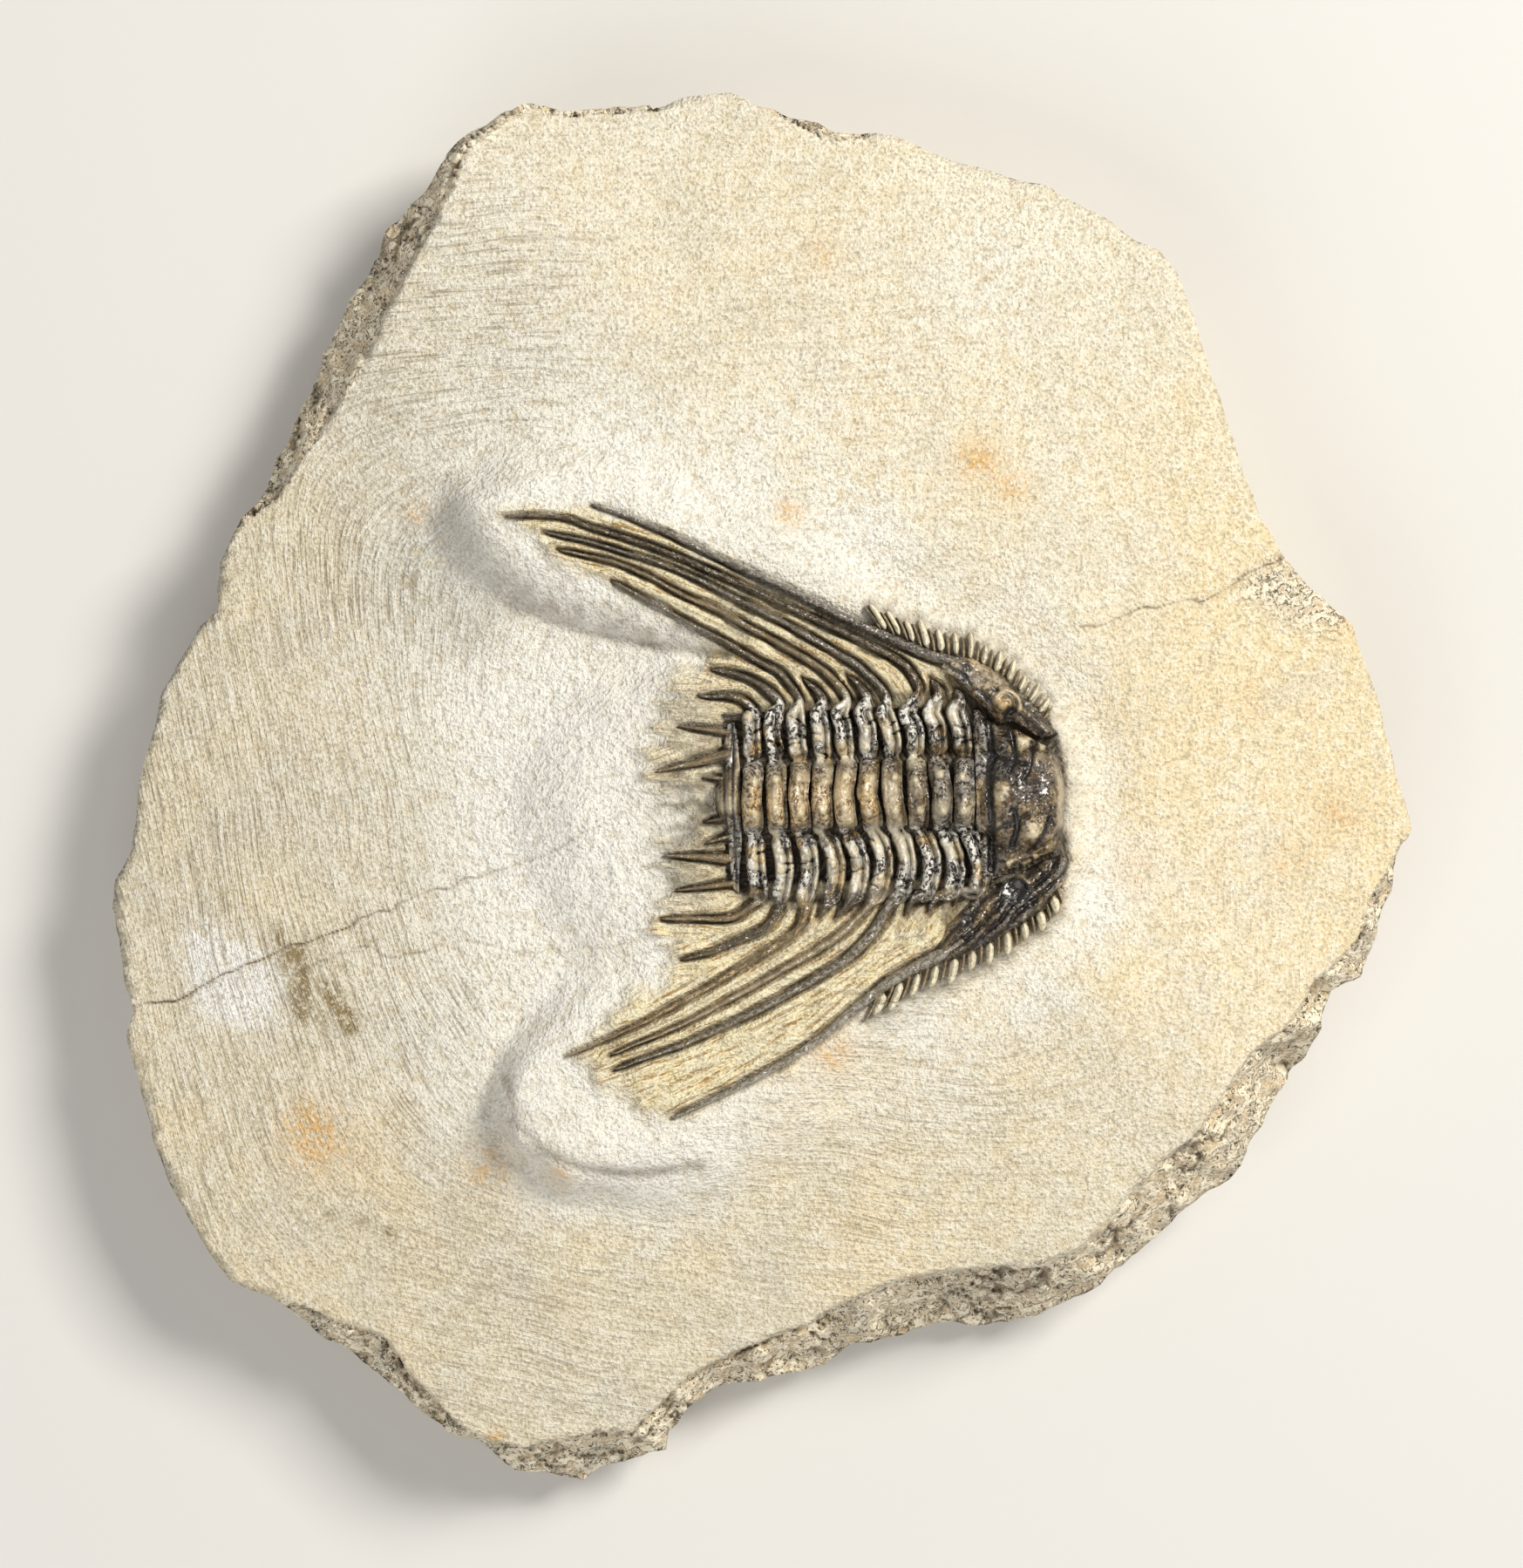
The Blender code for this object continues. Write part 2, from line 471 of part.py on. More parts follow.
def sweep(name, stations):
    """A bar through stations of x, y, underside, top, width and crest, drawn to a point at each end."""
    verts = []
    count = len(stations)
    corners = len(SECTION)
    for i, (x, y, low, high, width, crest) in enumerate(stations):
        before, after = stations[max(i - 1, 0)], stations[min(i + 1, count - 1)]
        dx, dy = after[0] - before[0], after[1] - before[1]
        length = math.hypot(dx, dy)
        side = (-dy / length, dx / length)
        if i in (0, count - 1):
            verts.append((x, y, (low + high) / 2))
            continue
        for across, up in SECTION:
            up = crest if up is None else up
            verts.append((x + side[0] * across * width, y + side[1] * across * width,
                          low + (high - low) * up))
    faces = []
    for j in range(corners):
        k = (j + 1) % corners
        faces.append((0, 1 + k, 1 + j))
        for i in range(count - 3):
            a = 1 + i * corners
            faces.append((a + j, a + k, a + corners + k, a + corners + j))
        last = 1 + (count - 3) * corners
        faces.append((last + j, last + k, len(verts) - 1))
    return add_object(name, verts, faces)


def spine_stations(points, root, tip):
    """Stations out along a spine that lies on the stone, thinning from root to tip."""
    found = []
    for i, (x, y) in enumerate(points):
        share = i / (len(points) - 1)
        width = root + (tip - root) * share
        low = top_at(x, y) + GAP
        crest = PLEURA_FURROW + (SPINE_CREST - PLEURA_FURROW) * min(1.0, i / 2)
        found.append((x, y, low, low + SPINE_HEIGHT[0] + SPINE_HEIGHT[1] * width, width, crest))
    return found


def build_segment(number):
    """One thoracic segment: the axial ring, a furrowed pleura on each side, and its two spines."""
    along = THORAX_FRONT - PITCH * (number - 0.5)
    width = PITCH - GAP
    left = AXIS_PROFILE + LEFT_FULCRUM
    right = AXIS_PROFILE + RIGHT_FULCRUM
    middle = []
    for across, top in left[::-1] + [(-across, top) for across, top in right[1:]]:
        x, y = on_body(along, across)
        low = max(top_at(x, y), float(bed(np.array([x]), np.array([y]))[0])) + GAP
        crest = RING_CREST if abs(across) < RING_HALF_WIDTH else PLEURA_FURROW
        middle.append((x, y, low, BED_HEIGHT + top, width, crest))
    points, root, tip = LEFT_SPINES[number - 1]
    left_spine = spine_stations(points, root, tip)
    points, root, tip = RIGHT_SPINES[number - 1]
    right_spine = spine_stations(points, root, tip)
    obj = sweep(f"thorax_segment_{number:02d}", left_spine[::-1] + middle + right_spine)
    shade(obj, (0.10, 0.08, 0.06), 0.25, f"shell_segment_{number:02d}")


def plate(name, loop, ridges, extra, top):
    """A shield: an outline with a thin edge, raised inside it, on the stone with a small gap."""
    points, faces = triangulate(loop, extra, ridges)
    floor_points, floor_faces = triangulate(loop, inside_points(loop, FLOOR_STEP, MARGIN_CLEAR))
    edge = len(loop)
    verts = []
    for i, (x, y) in enumerate(points):
        low = top_at(x, y) + GAP
        verts.append((x, y, low + (PLATE_EDGE if i < edge else max(PLATE_EDGE, top(x, y, low)))))
    start = len(verts)
    verts += [(x, y, top_at(x, y) + GAP) for x, y in floor_points]
    tops = [face if is_up(verts, face) else face[::-1] for face in faces]
    floors = [tuple(start + i for i in face) for face in floor_faces]
    floors = [face[::-1] if is_up(verts, face) else face for face in floors]
    clockwise = sum(a[0] * b[1] - b[0] * a[1] for a, b in zip(loop, loop[1:] + loop[:1])) < 0
    sides = []
    for i in range(edge):
        j = (i + 1) % edge
        quad = (i, j, start + j, start + i)
        sides.append(quad if clockwise else quad[::-1])
    return add_object(name, verts, tops + sides + floors)


def with_spines(margin, spines):
    """A margin with pointed spines standing out of it, and the crest line of each."""
    loop = list(margin)
    crests = []
    for root, tip, width in spines:
        gaps = [math.dist(root, a) + math.dist(root, b) - math.dist(a, b)
                for a, b in zip(loop, loop[1:] + loop[:1])]
        at = gaps.index(min(gaps))
        a, b = loop[at], loop[(at + 1) % len(loop)]
        length = math.dist(a, b)
        step = ((b[0] - a[0]) / length, (b[1] - a[1]) / length)
        middle = (root[0] - a[0]) * step[0] + (root[1] - a[1]) * step[1]
        half = min(width / 2, (0.5 - 2 * ROOT_ROOM) * length)
        room = half + ROOT_ROOM * length
        middle = min(max(middle, room), length - room)
        feet = [(a[0] + step[0] * (middle + side * half), a[1] + step[1] * (middle + side * half))
                for side in (-1, 1)]
        loop[at + 1:at + 1] = [feet[0], tip, feet[1]]
        foot = (a[0] + step[0] * middle, a[1] + step[1] * middle)
        crests.append([tuple(f + (t - f) * share for f, t in zip(foot, tip)) for share in CREST_SHARES])
    return loop, crests


def bump(x, y, centre, radius, height):
    away = math.dist((x, y), centre) / radius
    return height * math.cos(min(away, 1.0) * math.pi / 2) ** 2


def inside_points(loop, step, margin):
    """Grid points well inside a loop."""
    xs = [p[0] for p in loop]
    ys = [p[1] for p in loop]
    points = list(grid((min(xs), min(ys)), (max(xs), max(ys)), step))
    x, y = np.array(points).T
    away, _, inside = to_loop(x, y, [(p[0], p[1], 0.0) for p in loop])
    return [p for p, kept in zip(points, inside & (away > margin)) if kept]


def build_pygidium():
    """The tail shield with its fringe of spines."""
    loop, crests = with_spines(TAIL_MARGIN, TAIL_SPINES)

    def top(x, y, low):
        along, across = body_place(x, y)
        if along < TAIL_MARGIN_ALONG or math.dist((x, y), TAIL_MIDDLE) > TAIL_REACH:
            return SHORT_SPINE_HEIGHT
        out = min(abs(across) / RING_HALF_WIDTH, 1.0)
        return TAIL_TOP + TAIL_AXIS_RISE * math.cos(out * math.pi / 2)

    obj = plate("pygidium", loop, crests, inside_points(TAIL_MARGIN, TAIL_STEP, MARGIN_CLEAR), top)
    shade(obj, (0.12, 0.09, 0.06), 0.3, "shell_pygidium")


def build_cranidium():
    """The head's middle shield: the domed glabella, the occipital ring and the fixed cheeks."""
    (centre, radii, rise) = GLABELLA

    def top(x, y, low):
        out = math.hypot((x - centre[0]) / radii[0], (y - centre[1]) / radii[1])
        dome = rise * max(0.0, 1.0 - out * out) ** DOME_CURVE
        lobes = sum(bump(x, y, *lobe) for lobe in HEAD_LOBES)
        return BED_HEIGHT + HEAD_TOP + dome + lobes * LOBE_SHARE - low

    obj = plate("cranidium", HEAD_MARGIN, [], inside_points(HEAD_MARGIN, HEAD_STEP, MARGIN_CLEAR), top)
    shade(obj, (0.07, 0.05, 0.045), 0.3, "shell_cranidium")


def genal_sides(route, width):
    """The two edges of a genal spine from root to tip, and its crest."""
    sides = ([], [])
    for i, (x, y) in enumerate(route[:-1]):
        ahead, behind = route[i + 1], route[max(i - 1, 0)]
        dx, dy = ahead[0] - behind[0], ahead[1] - behind[1]
        length = math.hypot(dx, dy)
        half = (width[0] + (width[1] - width[0]) * i / (len(route) - 1)) / 2
        sides[0].append((x - dy / length * half, y + dx / length * half))
        sides[1].append((x + dy / length * half, y - dx / length * half))
    return sides, list(route[:-1])


def border_spines(rim, count, headings, lengths):
    """Short spines along a rim: root, tip and width. They turn from one heading to the other."""
    reach = [0.0]
    for a, b in zip(rim, rim[1:]):
        reach.append(reach[-1] + math.dist(a, b))
    found = []
    for i in range(count):
        share = (i + 0.5) / count
        at = share * reach[-1]
        leg = next(k for k in range(1, len(reach)) if reach[k] >= at)
        part = (at - reach[leg - 1]) / (reach[leg] - reach[leg - 1])
        a, b = rim[leg - 1], rim[leg]
        root = (a[0] + (b[0] - a[0]) * part, a[1] + (b[1] - a[1]) * part)
        heading = math.radians(headings[0] + (headings[1] - headings[0]) * share)
        length = lengths[0] + (lengths[1] - lengths[0]) * share
        tip = (root[0] + length * math.cos(heading), root[1] + length * math.sin(heading))
        found.append((root, tip, BORDER_SPINE_WIDTH))
    return found


def build_cheek(name, rim, inner, genal, width, eye, eye_rise, fringe):
    """A free cheek: rim with its fringe of spines, eye, and the long genal spine behind it."""
    sides, crest = genal_sides(genal, width)
    inward, outer = sides if name.endswith("left") else sides[::-1]
    margin = list(rim) + outer[1:] + [genal[-1]] + inward[1:][::-1] + list(inner)
    loop, crests = with_spines(margin, border_spines(rim[1:] + outer[1:4], *fringe))

    def top(x, y, low):
        if x < CHEEK_BACK:
            return GENAL_HEIGHT
        away, _, inside = to_loop(np.array([x]), np.array([y]), [(p[0], p[1], 0.0) for p in margin])
        if not inside[0]:
            return SHORT_SPINE_HEIGHT
        field = BED_HEIGHT + CHEEK_TOP - low - CHEEK_BORDER * min(1.0, float(away[0]))
        return field + bump(x, y, eye, EYE_RADIUS, eye_rise)

    around = [(eye[0] + EYE_RING * math.cos(a), eye[1] + EYE_RING * math.sin(a))
              for a in (i * math.pi / 3 for i in range(6))]
    field = [p for p in inside_points(margin, CHEEK_STEP, MARGIN_CLEAR)
             if p[0] > CHEEK_BACK + CHEEK_STEP / 2 and math.dist(p, eye) > EYE_RADIUS]
    obj = plate(name, loop, crests, field + [eye] + around + crest[1:], top)
    shade(obj, (0.08, 0.065, 0.05), 0.28, f"shell_{name}")


def build_fossil():
    build_cranidium()
    build_cheek("free_cheek_left", LEFT_RIM, LEFT_INNER, LEFT_GENAL, LEFT_GENAL_WIDTH, LEFT_EYE,
                EYE_RISE, LEFT_FRINGE)
    build_cheek("free_cheek_right", RIGHT_RIM, RIGHT_INNER, RIGHT_GENAL, RIGHT_GENAL_WIDTH, RIGHT_EYE,
                CRUSHED_EYE_RISE, RIGHT_FRINGE)
    for number in range(1, SEGMENTS + 1):
        build_segment(number)
    build_pygidium()


for old in list(bpy.data.objects):
    bpy.data.objects.remove(old)
build_matrix()
build_fossil()
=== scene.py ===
"""Looks for a spiny trilobite, fossilised, on its prepared block of limestone.

The sections give their sizes in millimetres, which become metres as each mesh is made.
"""
import math

import bpy
import numpy as np
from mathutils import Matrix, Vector
from mathutils.geometry import delaunay_2d_cdt
from mathutils.kdtree import KDTree


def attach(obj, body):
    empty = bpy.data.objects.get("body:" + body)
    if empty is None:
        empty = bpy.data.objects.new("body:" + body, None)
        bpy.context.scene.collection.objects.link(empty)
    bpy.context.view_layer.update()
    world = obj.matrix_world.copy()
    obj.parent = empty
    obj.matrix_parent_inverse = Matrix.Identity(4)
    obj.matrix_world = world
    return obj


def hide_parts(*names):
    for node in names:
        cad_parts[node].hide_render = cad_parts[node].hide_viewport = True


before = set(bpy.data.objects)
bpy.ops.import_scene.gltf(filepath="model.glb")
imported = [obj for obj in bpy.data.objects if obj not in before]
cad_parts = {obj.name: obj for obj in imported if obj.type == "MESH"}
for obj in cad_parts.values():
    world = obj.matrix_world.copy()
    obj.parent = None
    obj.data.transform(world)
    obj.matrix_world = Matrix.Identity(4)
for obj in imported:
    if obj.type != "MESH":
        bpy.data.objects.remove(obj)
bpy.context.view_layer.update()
MM = 0.001

# Floor, light and camera. The block lies on a plain pale table top. A warm lamp stands to the upper
# right and a pale sky fills the shadows. The camera looks straight down on the prepared face.
FLOOR_HALF = 1.2
CAMERA_PLACE = (0.0002, 0.0005, 0.4525)
CAMERA_LENS = 135
LAMP_PLACE = (0.43, 0.31, 0.52)
LAMP_SIZE = 0.24
LAMP_POWER = 5.4
FILL_PLACE = (-0.30, -0.50, 0.55)
FILL_SIZE = 0.7
FILL_POWER = 2.6
SKY_STRENGTH = 0.30

scene = bpy.context.scene
scene.view_settings.view_transform = "Standard"


def add_floor():
    mesh = bpy.data.meshes.new("table_top")
    h = FLOOR_HALF
    mesh.from_pydata([(-h, -h, 0), (h, -h, 0), (h, h, 0), (-h, h, 0)], [], [(0, 1, 2, 3)])
    floor = bpy.data.objects.new("table_top", mesh)
    scene.collection.objects.link(floor)
    material = bpy.data.materials.new("table_paint")
    material.use_nodes = True
    shader = material.node_tree.nodes["Principled BSDF"]
    shader.inputs["Base Color"].default_value = (0.74, 0.73, 0.71, 1)
    shader.inputs["Roughness"].default_value = 0.9
    mesh.materials.append(material)


def add_lamp(name, place, size, power, colour):
    data = bpy.data.lights.new(name, "AREA")
    data.size = size
    data.energy = power
    data.color = colour
    lamp = bpy.data.objects.new(name, data)
    lamp.location = place
    lamp.rotation_euler = (-Vector(place)).to_track_quat("-Z", "Y").to_euler()
    scene.collection.objects.link(lamp)


add_floor()
add_lamp("key_lamp", LAMP_PLACE, LAMP_SIZE, LAMP_POWER, (1, 0.96, 0.88))
add_lamp("fill_lamp", FILL_PLACE, FILL_SIZE, FILL_POWER, (1, 0.97, 0.92))
sky = bpy.data.worlds.new("sky")
sky.use_nodes = True
sky.node_tree.nodes["Background"].inputs["Color"].default_value = (0.97, 0.98, 1, 1)
sky.node_tree.nodes["Background"].inputs["Strength"].default_value = SKY_STRENGTH
scene.world = sky
lens = bpy.data.cameras.new("camera")
lens.lens = CAMERA_LENS
lens.sensor_width = 36
camera = bpy.data.objects.new("camera", lens)
camera.location = CAMERA_PLACE
scene.collection.objects.link(camera)
scene.camera = camera

# The block of limestone. One stone, ground flat in a few facets and then cut away round the animal
# with a fine air chisel, which left it on a raised bed with two fans of long spines. The lower right
# and upper left sides are broken. Healed cracks cross it, and one chip is filled with white plaster.
BLOCK_OUTLINE = [
    (-5, 52.2, 0), (-2.3, 52.2, 0), (1.3, 51.3, 0.6), (5.5, 49.4, 0.8), (9.8, 49, 0),
    (15, 47.1, 0), (21.6, 45.1, 0), (28.2, 41.2, 0), (30.1, 40.4, 0), (31.4, 38.3, 0),
    (33, 33.2, 0), (35.2, 26.3, 0), (37.6, 20.1, 0), (38.6, 18.3, 0), (41.2, 15.1, 0),
    (44.3, 12.4, 0), (46.3, 6.4, 0), (47.9, 0.1, 0), (48.8, -2.8, 0), (48.4, -4.2, 0.4),
    (47.6, -6.2, 0.6), (46.9, -8.8, 1.4), (46.4, -11.9, 1.8), (44.9, -13.8, 2), (43.1, -15.5, 2),
    (42, -17.4, 2), (41.6, -19.3, 3.3), (40.4, -21.6, 5), (38.1, -25.7, 4.7), (35.5, -29.4, 4.9),
    (31.8, -32.2, 4.9), (28.8, -35, 4.1), (25.8, -37.3, 3.4), (21.9, -39.8, 4.8), (17.9, -40.8, 5.6),
    (14.6, -40.6, 4.7), (11.2, -41.1, 4.8), (7.3, -42, 3.7), (5.3, -43.6, 4), (2.3, -44, 3.5),
    (-0.7, -44.6, 2.7), (-3.7, -45.8, 2.4), (-7.2, -48.6, 1.9), (-7.5, -50.1, 2.4), (-11.3, -51.5, 4),
    (-13.2, -52.2, 3.9), (-18.6, -51.7, 2.3), (-21.6, -49, 0.6), (-23.8, -48.6, 1.5),
    (-27.6, -45.3, 2), (-29.9, -43.2, 2.8), (-33.2, -40.9, 1.5), (-36.8, -38.1, 0),
    (-39.9, -37, 0), (-41.5, -34.5, 0), (-44.5, -29.7, 0), (-46.8, -21.9, 0),
    (-47.7, -18.3, 0), (-47.3, -16.7, 0), (-48.6, -10.1, 0), (-48.8, -8.8, 0),
    (-48.5, -6.8, 0), (-47.3, -4.7, 0), (-46.7, 0.8, 0), (-45, 7.4, 0), (-42.2, 12.3, 0),
    (-40.6, 13.6, 0), (-40.7, 17.1, 0), (-38.9, 20.6, 0.5), (-36.9, 22.9, 1.2), (-34.6, 29.1, 2.8),
    (-32.3, 34.2, 3.6), (-31, 37.8, 3.8), (-27, 43.3, 3), (-24.4, 46.3, 2), (-22.4, 48.6, 0.8),
    (-19.1, 50.7, 0.5), (-17.2, 51.5, 0.4), (-14.2, 51, 0.5), (-7.6, 51.5, 0.5),
]
# The broken band inside the edge, as wide as the outline's third number: how steep it is, and its curve.
BREAK_SLOPE = 1.5
BREAK_CURVE = 0.7
# Each ground facet: its height at a place, the place, its slopes, and how pale, warm and grey it is.
GROUND_FACETS = {
    "crown": (16.3, 0, 0, 0.01, 0, (0.45, 0.35, 0)),
    "right": (16.3, 24, 0, -0.165, 0, (0.1, 0.9, 0)),
    "top": (16.3, 0, 22, 0, -0.15, (0.35, 0.4, 0)),
    "left": (13.4, -24, 0, 0.2, 0, (0, 0.5, 0.25)),
    "bowl": (15.8, -4, 0, 0.125, 0, (1, 0, 0)),
    # The bottom and lower left facets are made warmer and less grey, as painted light against their shading.
    "bottom": (13.6, 0, -29, 0, 0.2, (0.1, 0.7, 0.12)),
    "lower_left": (12.8, -25, -25, 0.14, 0.14, (0, 0.95, 0.28)),
}
CREASE = 0.5
TONE_CREASE = 0.35
# The edge of the raised bed, with the width of the slope outside it.
BED_EDGE = [
    (23, 0.1, 1.6), (22.7, 3.1, 1.6), (21, 6, 1.6), (18.1, 8.7, 1.6), (15.7, 10.2, 2),
    (12.8, 11.2, 3), (9.1, 12.9, 4), (4.2, 15.6, 4.5), (0.4, 17.5, 5), (-5.2, 19.4, 5),
    (-10.2, 21.8, 5), (-13.6, 22.5, 4.6), (-17.6, 22, 4.2), (-20.3, 20.7, 4.6), (-19.2, 19, 4.8),
    (-14.9, 16.8, 5.4), (-11, 14.7, 5), (-7.1, 12.6, 3.6), (-3.3, 10.2, 2.2), (-2.6, 9, 1.6),
    (-5.2, 7.8, 4), (-8, 5, 7), (-8.6, 0.5, 13), (-8.4, -3.4, 13), (-8.2, -7.3, 11),
    (-8.1, -9.9, 7), (-6.2, -12.6, 5), (-8.4, -15, 5), (-11.7, -17.1, 4.6), (-14.8, -19.2, 4),
    (-16.7, -20.7, 3), (-18.1, -23.1, 2.6), (-17.5, -25.7, 2.2), (-13.6, -27, 4.6), (-7.1, -26.4, 6),
    (-2.6, -24.2, 6.4), (2.2, -21.8, 5.4), (6.8, -18.2, 4), (11, -14.9, 3), (14.8, -13, 1.8),
    (18.1, -11.7, 1.6), (21.3, -9.1, 1.6), (23.3, -5.3, 1.6),
]
BED_HEIGHT = 16.5
MOAT_DEPTH = 0.6
MOAT_FROM = 2.6
MOAT_WIDTH = 2.4
MOAT_FADE = (0, 12)
TAIL = (-3.4, -0.6)
BODY_TURN = math.radians(1.6)
BODY_LENGTH = 26.1
CORE_RISE = 1.5
CORE_HALF_WIDTH = 4.5
# The sides: each level as a share of the height, and how far the block draws in there.
SIDE_LEVELS = ((1, 0), (0.74, 0.006), (0.66, 0.02), (0.3, 0.026), (0, 0.055))
SIDE_ROWS = 26
# The long and short spines of the ten segments, as routes out from the body with the width at the
# root and the tip: first the left ones, from the head back, and then the right ones.
LEFT_SPINES = [
    ([(14.9, 6.9), (14.5, 7.7)], 0.9, 0.2),
    ([(13.4, 7.2), (12.7, 8.4)], 0.9, 0.2),
    ([(11.9, 7.6), (10.9, 9.2), (9.1, 10.4), (6.6, 11.6), (4.5, 12.6), (1.9, 13.8), (-0.7, 15),
      (-4.5, 16.7), (-7.1, 17.8), (-9.7, 18.7), (-12.3, 19.5), (-14.9, 20.3), (-18.9, 20.4)], 0.64, 0.3),
    ([(9.5, 6.9), (8.9, 7.8), (7.4, 9.2), (6.1, 10), (4.8, 10.8), (2.9, 11.9), (0, 13.4),
      (-2, 14.4), (-4.5, 15.7), (-7.1, 16.8), (-9.7, 17.6), (-12.3, 18.4), (-16, 19.2)], 0.64, 0.22),
    ([(8, 6.9), (7.4, 7.8), (6.5, 8.6)], 0.8, 0.2),
    ([(6.5, 6.9), (5.5, 8.2), (4.5, 9.1), (1.9, 10.7), (-0.7, 12.1), (-3.3, 13.5), (-5.8, 14.6),
      (-8.4, 16), (-11, 17), (-14.9, 17.9)], 0.66, 0.25),
    ([(4.7, 6.7), (4.1, 7.6), (3.2, 8.4)], 0.8, 0.2),
    ([(3, 6.8), (2.3, 7.9), (1.5, 8.8), (0, 9.6), (-2.6, 11.1), (-4.5, 12.1), (-7.1, 13.5),
      (-11, 15.6)], 0.6, 0.25),
    ([(1.5, 6.6), (0.6, 7.5), (-0.5, 8.2), (-2, 8.7), (-3.6, 9)], 0.7, 0.3),
    ([(-0.4, 6), (-1.6, 6.9), (-4.5, 7)], 0.7, 0.2),
]
RIGHT_SPINES = [
    ([(14.9, -7.6), (14.4, -8.6)], 0.8, 0.2),
    ([(13.2, -7.9), (12.5, -9.1)], 0.8, 0.2),
    ([(11.5, -8), (10.8, -9.3)], 0.8, 0.2),
    ([(9.6, -8.6), (8.6, -10.3), (6.8, -12.2), (4.5, -13.7), (1.9, -15.2), (-0.7, -16.6), (-3.3, -17.8),
      (-5.8, -18.9), (-8.4, -19.8), (-10.8, -20.7)], 0.9, 0.22),
    ([(8, -8.6), (6.5, -10.2), (4.5, -11.7), (1.9, -13.2), (-0.7, -14.7), (-3.3, -16.1), (-5.8, -17.4),
      (-8.4, -18.5), (-11, -19.6)], 0.7, 0.18),
    ([(6.4, -8.6), (5.6, -9.5)], 0.8, 0.2),
    ([(4.9, -8.5), (4.4, -9.4)], 0.7, 0.2),
    ([(3.4, -8.9), (2.9, -10.2), (1.5, -11.3), (-0.7, -12.7), (-3.3, -14.3), (-5.8, -15.7), (-8.4, -17.1),
      (-11, -18.3), (-14.4, -19.7)], 0.7, 0.18),
    ([(1.5, -8.8), (0.4, -10.2), (-2, -11.3), (-3.6, -12), (-5.8, -12.5)], 0.75, 0.25),
    ([(-0.3, -8.3), (-2, -9.4), (-4.5, -9.5), (-7.3, -9.5)], 0.7, 0.25),
]
TAIL_SPINES = [
    ([(-2, 4.3), (-4, 4.55), (-6, 4.8)], 0.6, 0.15), ([(-2, 2.8), (-4.6, 2.1), (-7.7, 1.4)], 0.95, 0.15),
    ([(-2.5, 0.9), (-4.2, 1)], 0.5, 0.15), ([(-2.5, -2), (-4, -2.3)], 0.5, 0.15),
    ([(-2, -3.3), (-4, -3.9)], 0.5, 0.15), ([(-2, -5.05), (-4.6, -4.9), (-7.1, -4.8)], 0.9, 0.15),
    ([(-1.7, -6.8), (-4, -7.15), (-6.2, -7.4)], 0.6, 0.15),
]
LEFT_GENAL = ([(15.5, 9.4), (12.8, 10), (10.9, 10.8), (8.4, 11.9), (5.8, 13.1), (3.2, 14.4), (0.6, 15.6),
               (-2, 16.8), (-4.5, 18), (-7.1, 19.2), (-9.7, 20.3), (-12.4, 21.2)], 0.95, 0.28)
RIGHT_GENAL = ([(15.2, -11), (13.2, -12.3), (10.3, -13.8), (8.4, -15.2), (5.8, -17.3), (4.5, -18.4),
                (1.9, -20.1), (-0.7, -21.5), (-3.3, -22.8), (-6.5, -24.3)], 1.15, 0.3)
# The short spines along the cheeks' rims: the rim's route, how many, the first and last heading in
# degrees, and the first and last length.
LEFT_FRINGE = ([(21.4, 5), (20.7, 6), (19.7, 7), (18.5, 8.2), (17.3, 9), (15.8, 9.8), (12.8, 10.5),
                (10.9, 11.3), (8.4, 12.35)], 14, (49, 128), (1.1, 1.9))
RIGHT_FRINGE = ([(22.6, -6.8), (21.2, -8.7), (19.4, -10), (17.4, -11.1), (15.9, -11.9), (13, -13),
                 (10, -14.5), (8.1, -15.9)], 12, (-70, -120), (1, 1.9))


def smooth_step(start, end, value):
    share = np.clip((value - start) / (end - start), 0, 1)
    return share * share * (3 - 2 * share)


def bell(value, width):
    return np.exp(-((value / width) ** 2))


def smooth_route(points, step):
    """Even points along a smooth curve through a route's own points."""
    ends = [tuple(2 * a - b for a, b in zip(points[0], points[1]))]
    tail = [tuple(2 * a - b for a, b in zip(points[-1], points[-2]))]
    p = np.array(ends + list(points) + tail, float)
    fine = []
    for i in range(1, len(p) - 2):
        t = np.linspace(0, 1, 24, endpoint=False)[:, None]
        fine.append(0.5 * (2 * p[i] + (p[i + 1] - p[i - 1]) * t
                           + (2 * p[i - 1] - 5 * p[i] + 4 * p[i + 1] - p[i + 2]) * t ** 2
                           + (3 * p[i] - p[i - 1] - 3 * p[i + 1] + p[i + 2]) * t ** 3))
    fine = np.concatenate(fine + [p[-2:-1]])
    reach = np.concatenate([[0], np.cumsum(np.hypot(*np.diff(fine[:, :2], axis=0).T))])
    places = np.linspace(0, reach[-1], max(3, int(reach[-1] / step) + 1))
    return np.stack([np.interp(places, reach, column) for column in fine.T], 1)


def fringe_routes(rim, count, headings, lengths):
    """The short spines of a fringe as routes. They turn from one heading to the other."""
    route = smooth_route(rim, 0.05)
    found = []
    for i in range(count):
        share = (i + 0.5) / count
        x, y = route[int(share * (len(route) - 1))]
        heading = math.radians(headings[0] + (headings[1] - headings[0]) * share)
        length = lengths[0] + (lengths[1] - lengths[0]) * share
        way = (math.cos(heading), math.sin(heading))
        found.append([(x - 0.3 * way[0], y - 0.3 * way[1]),
                      (x + 0.5 * length * way[0] + 0.05 * length, y + 0.5 * length * way[1]),
                      (x + length * way[0], y + length * way[1])])
    return found


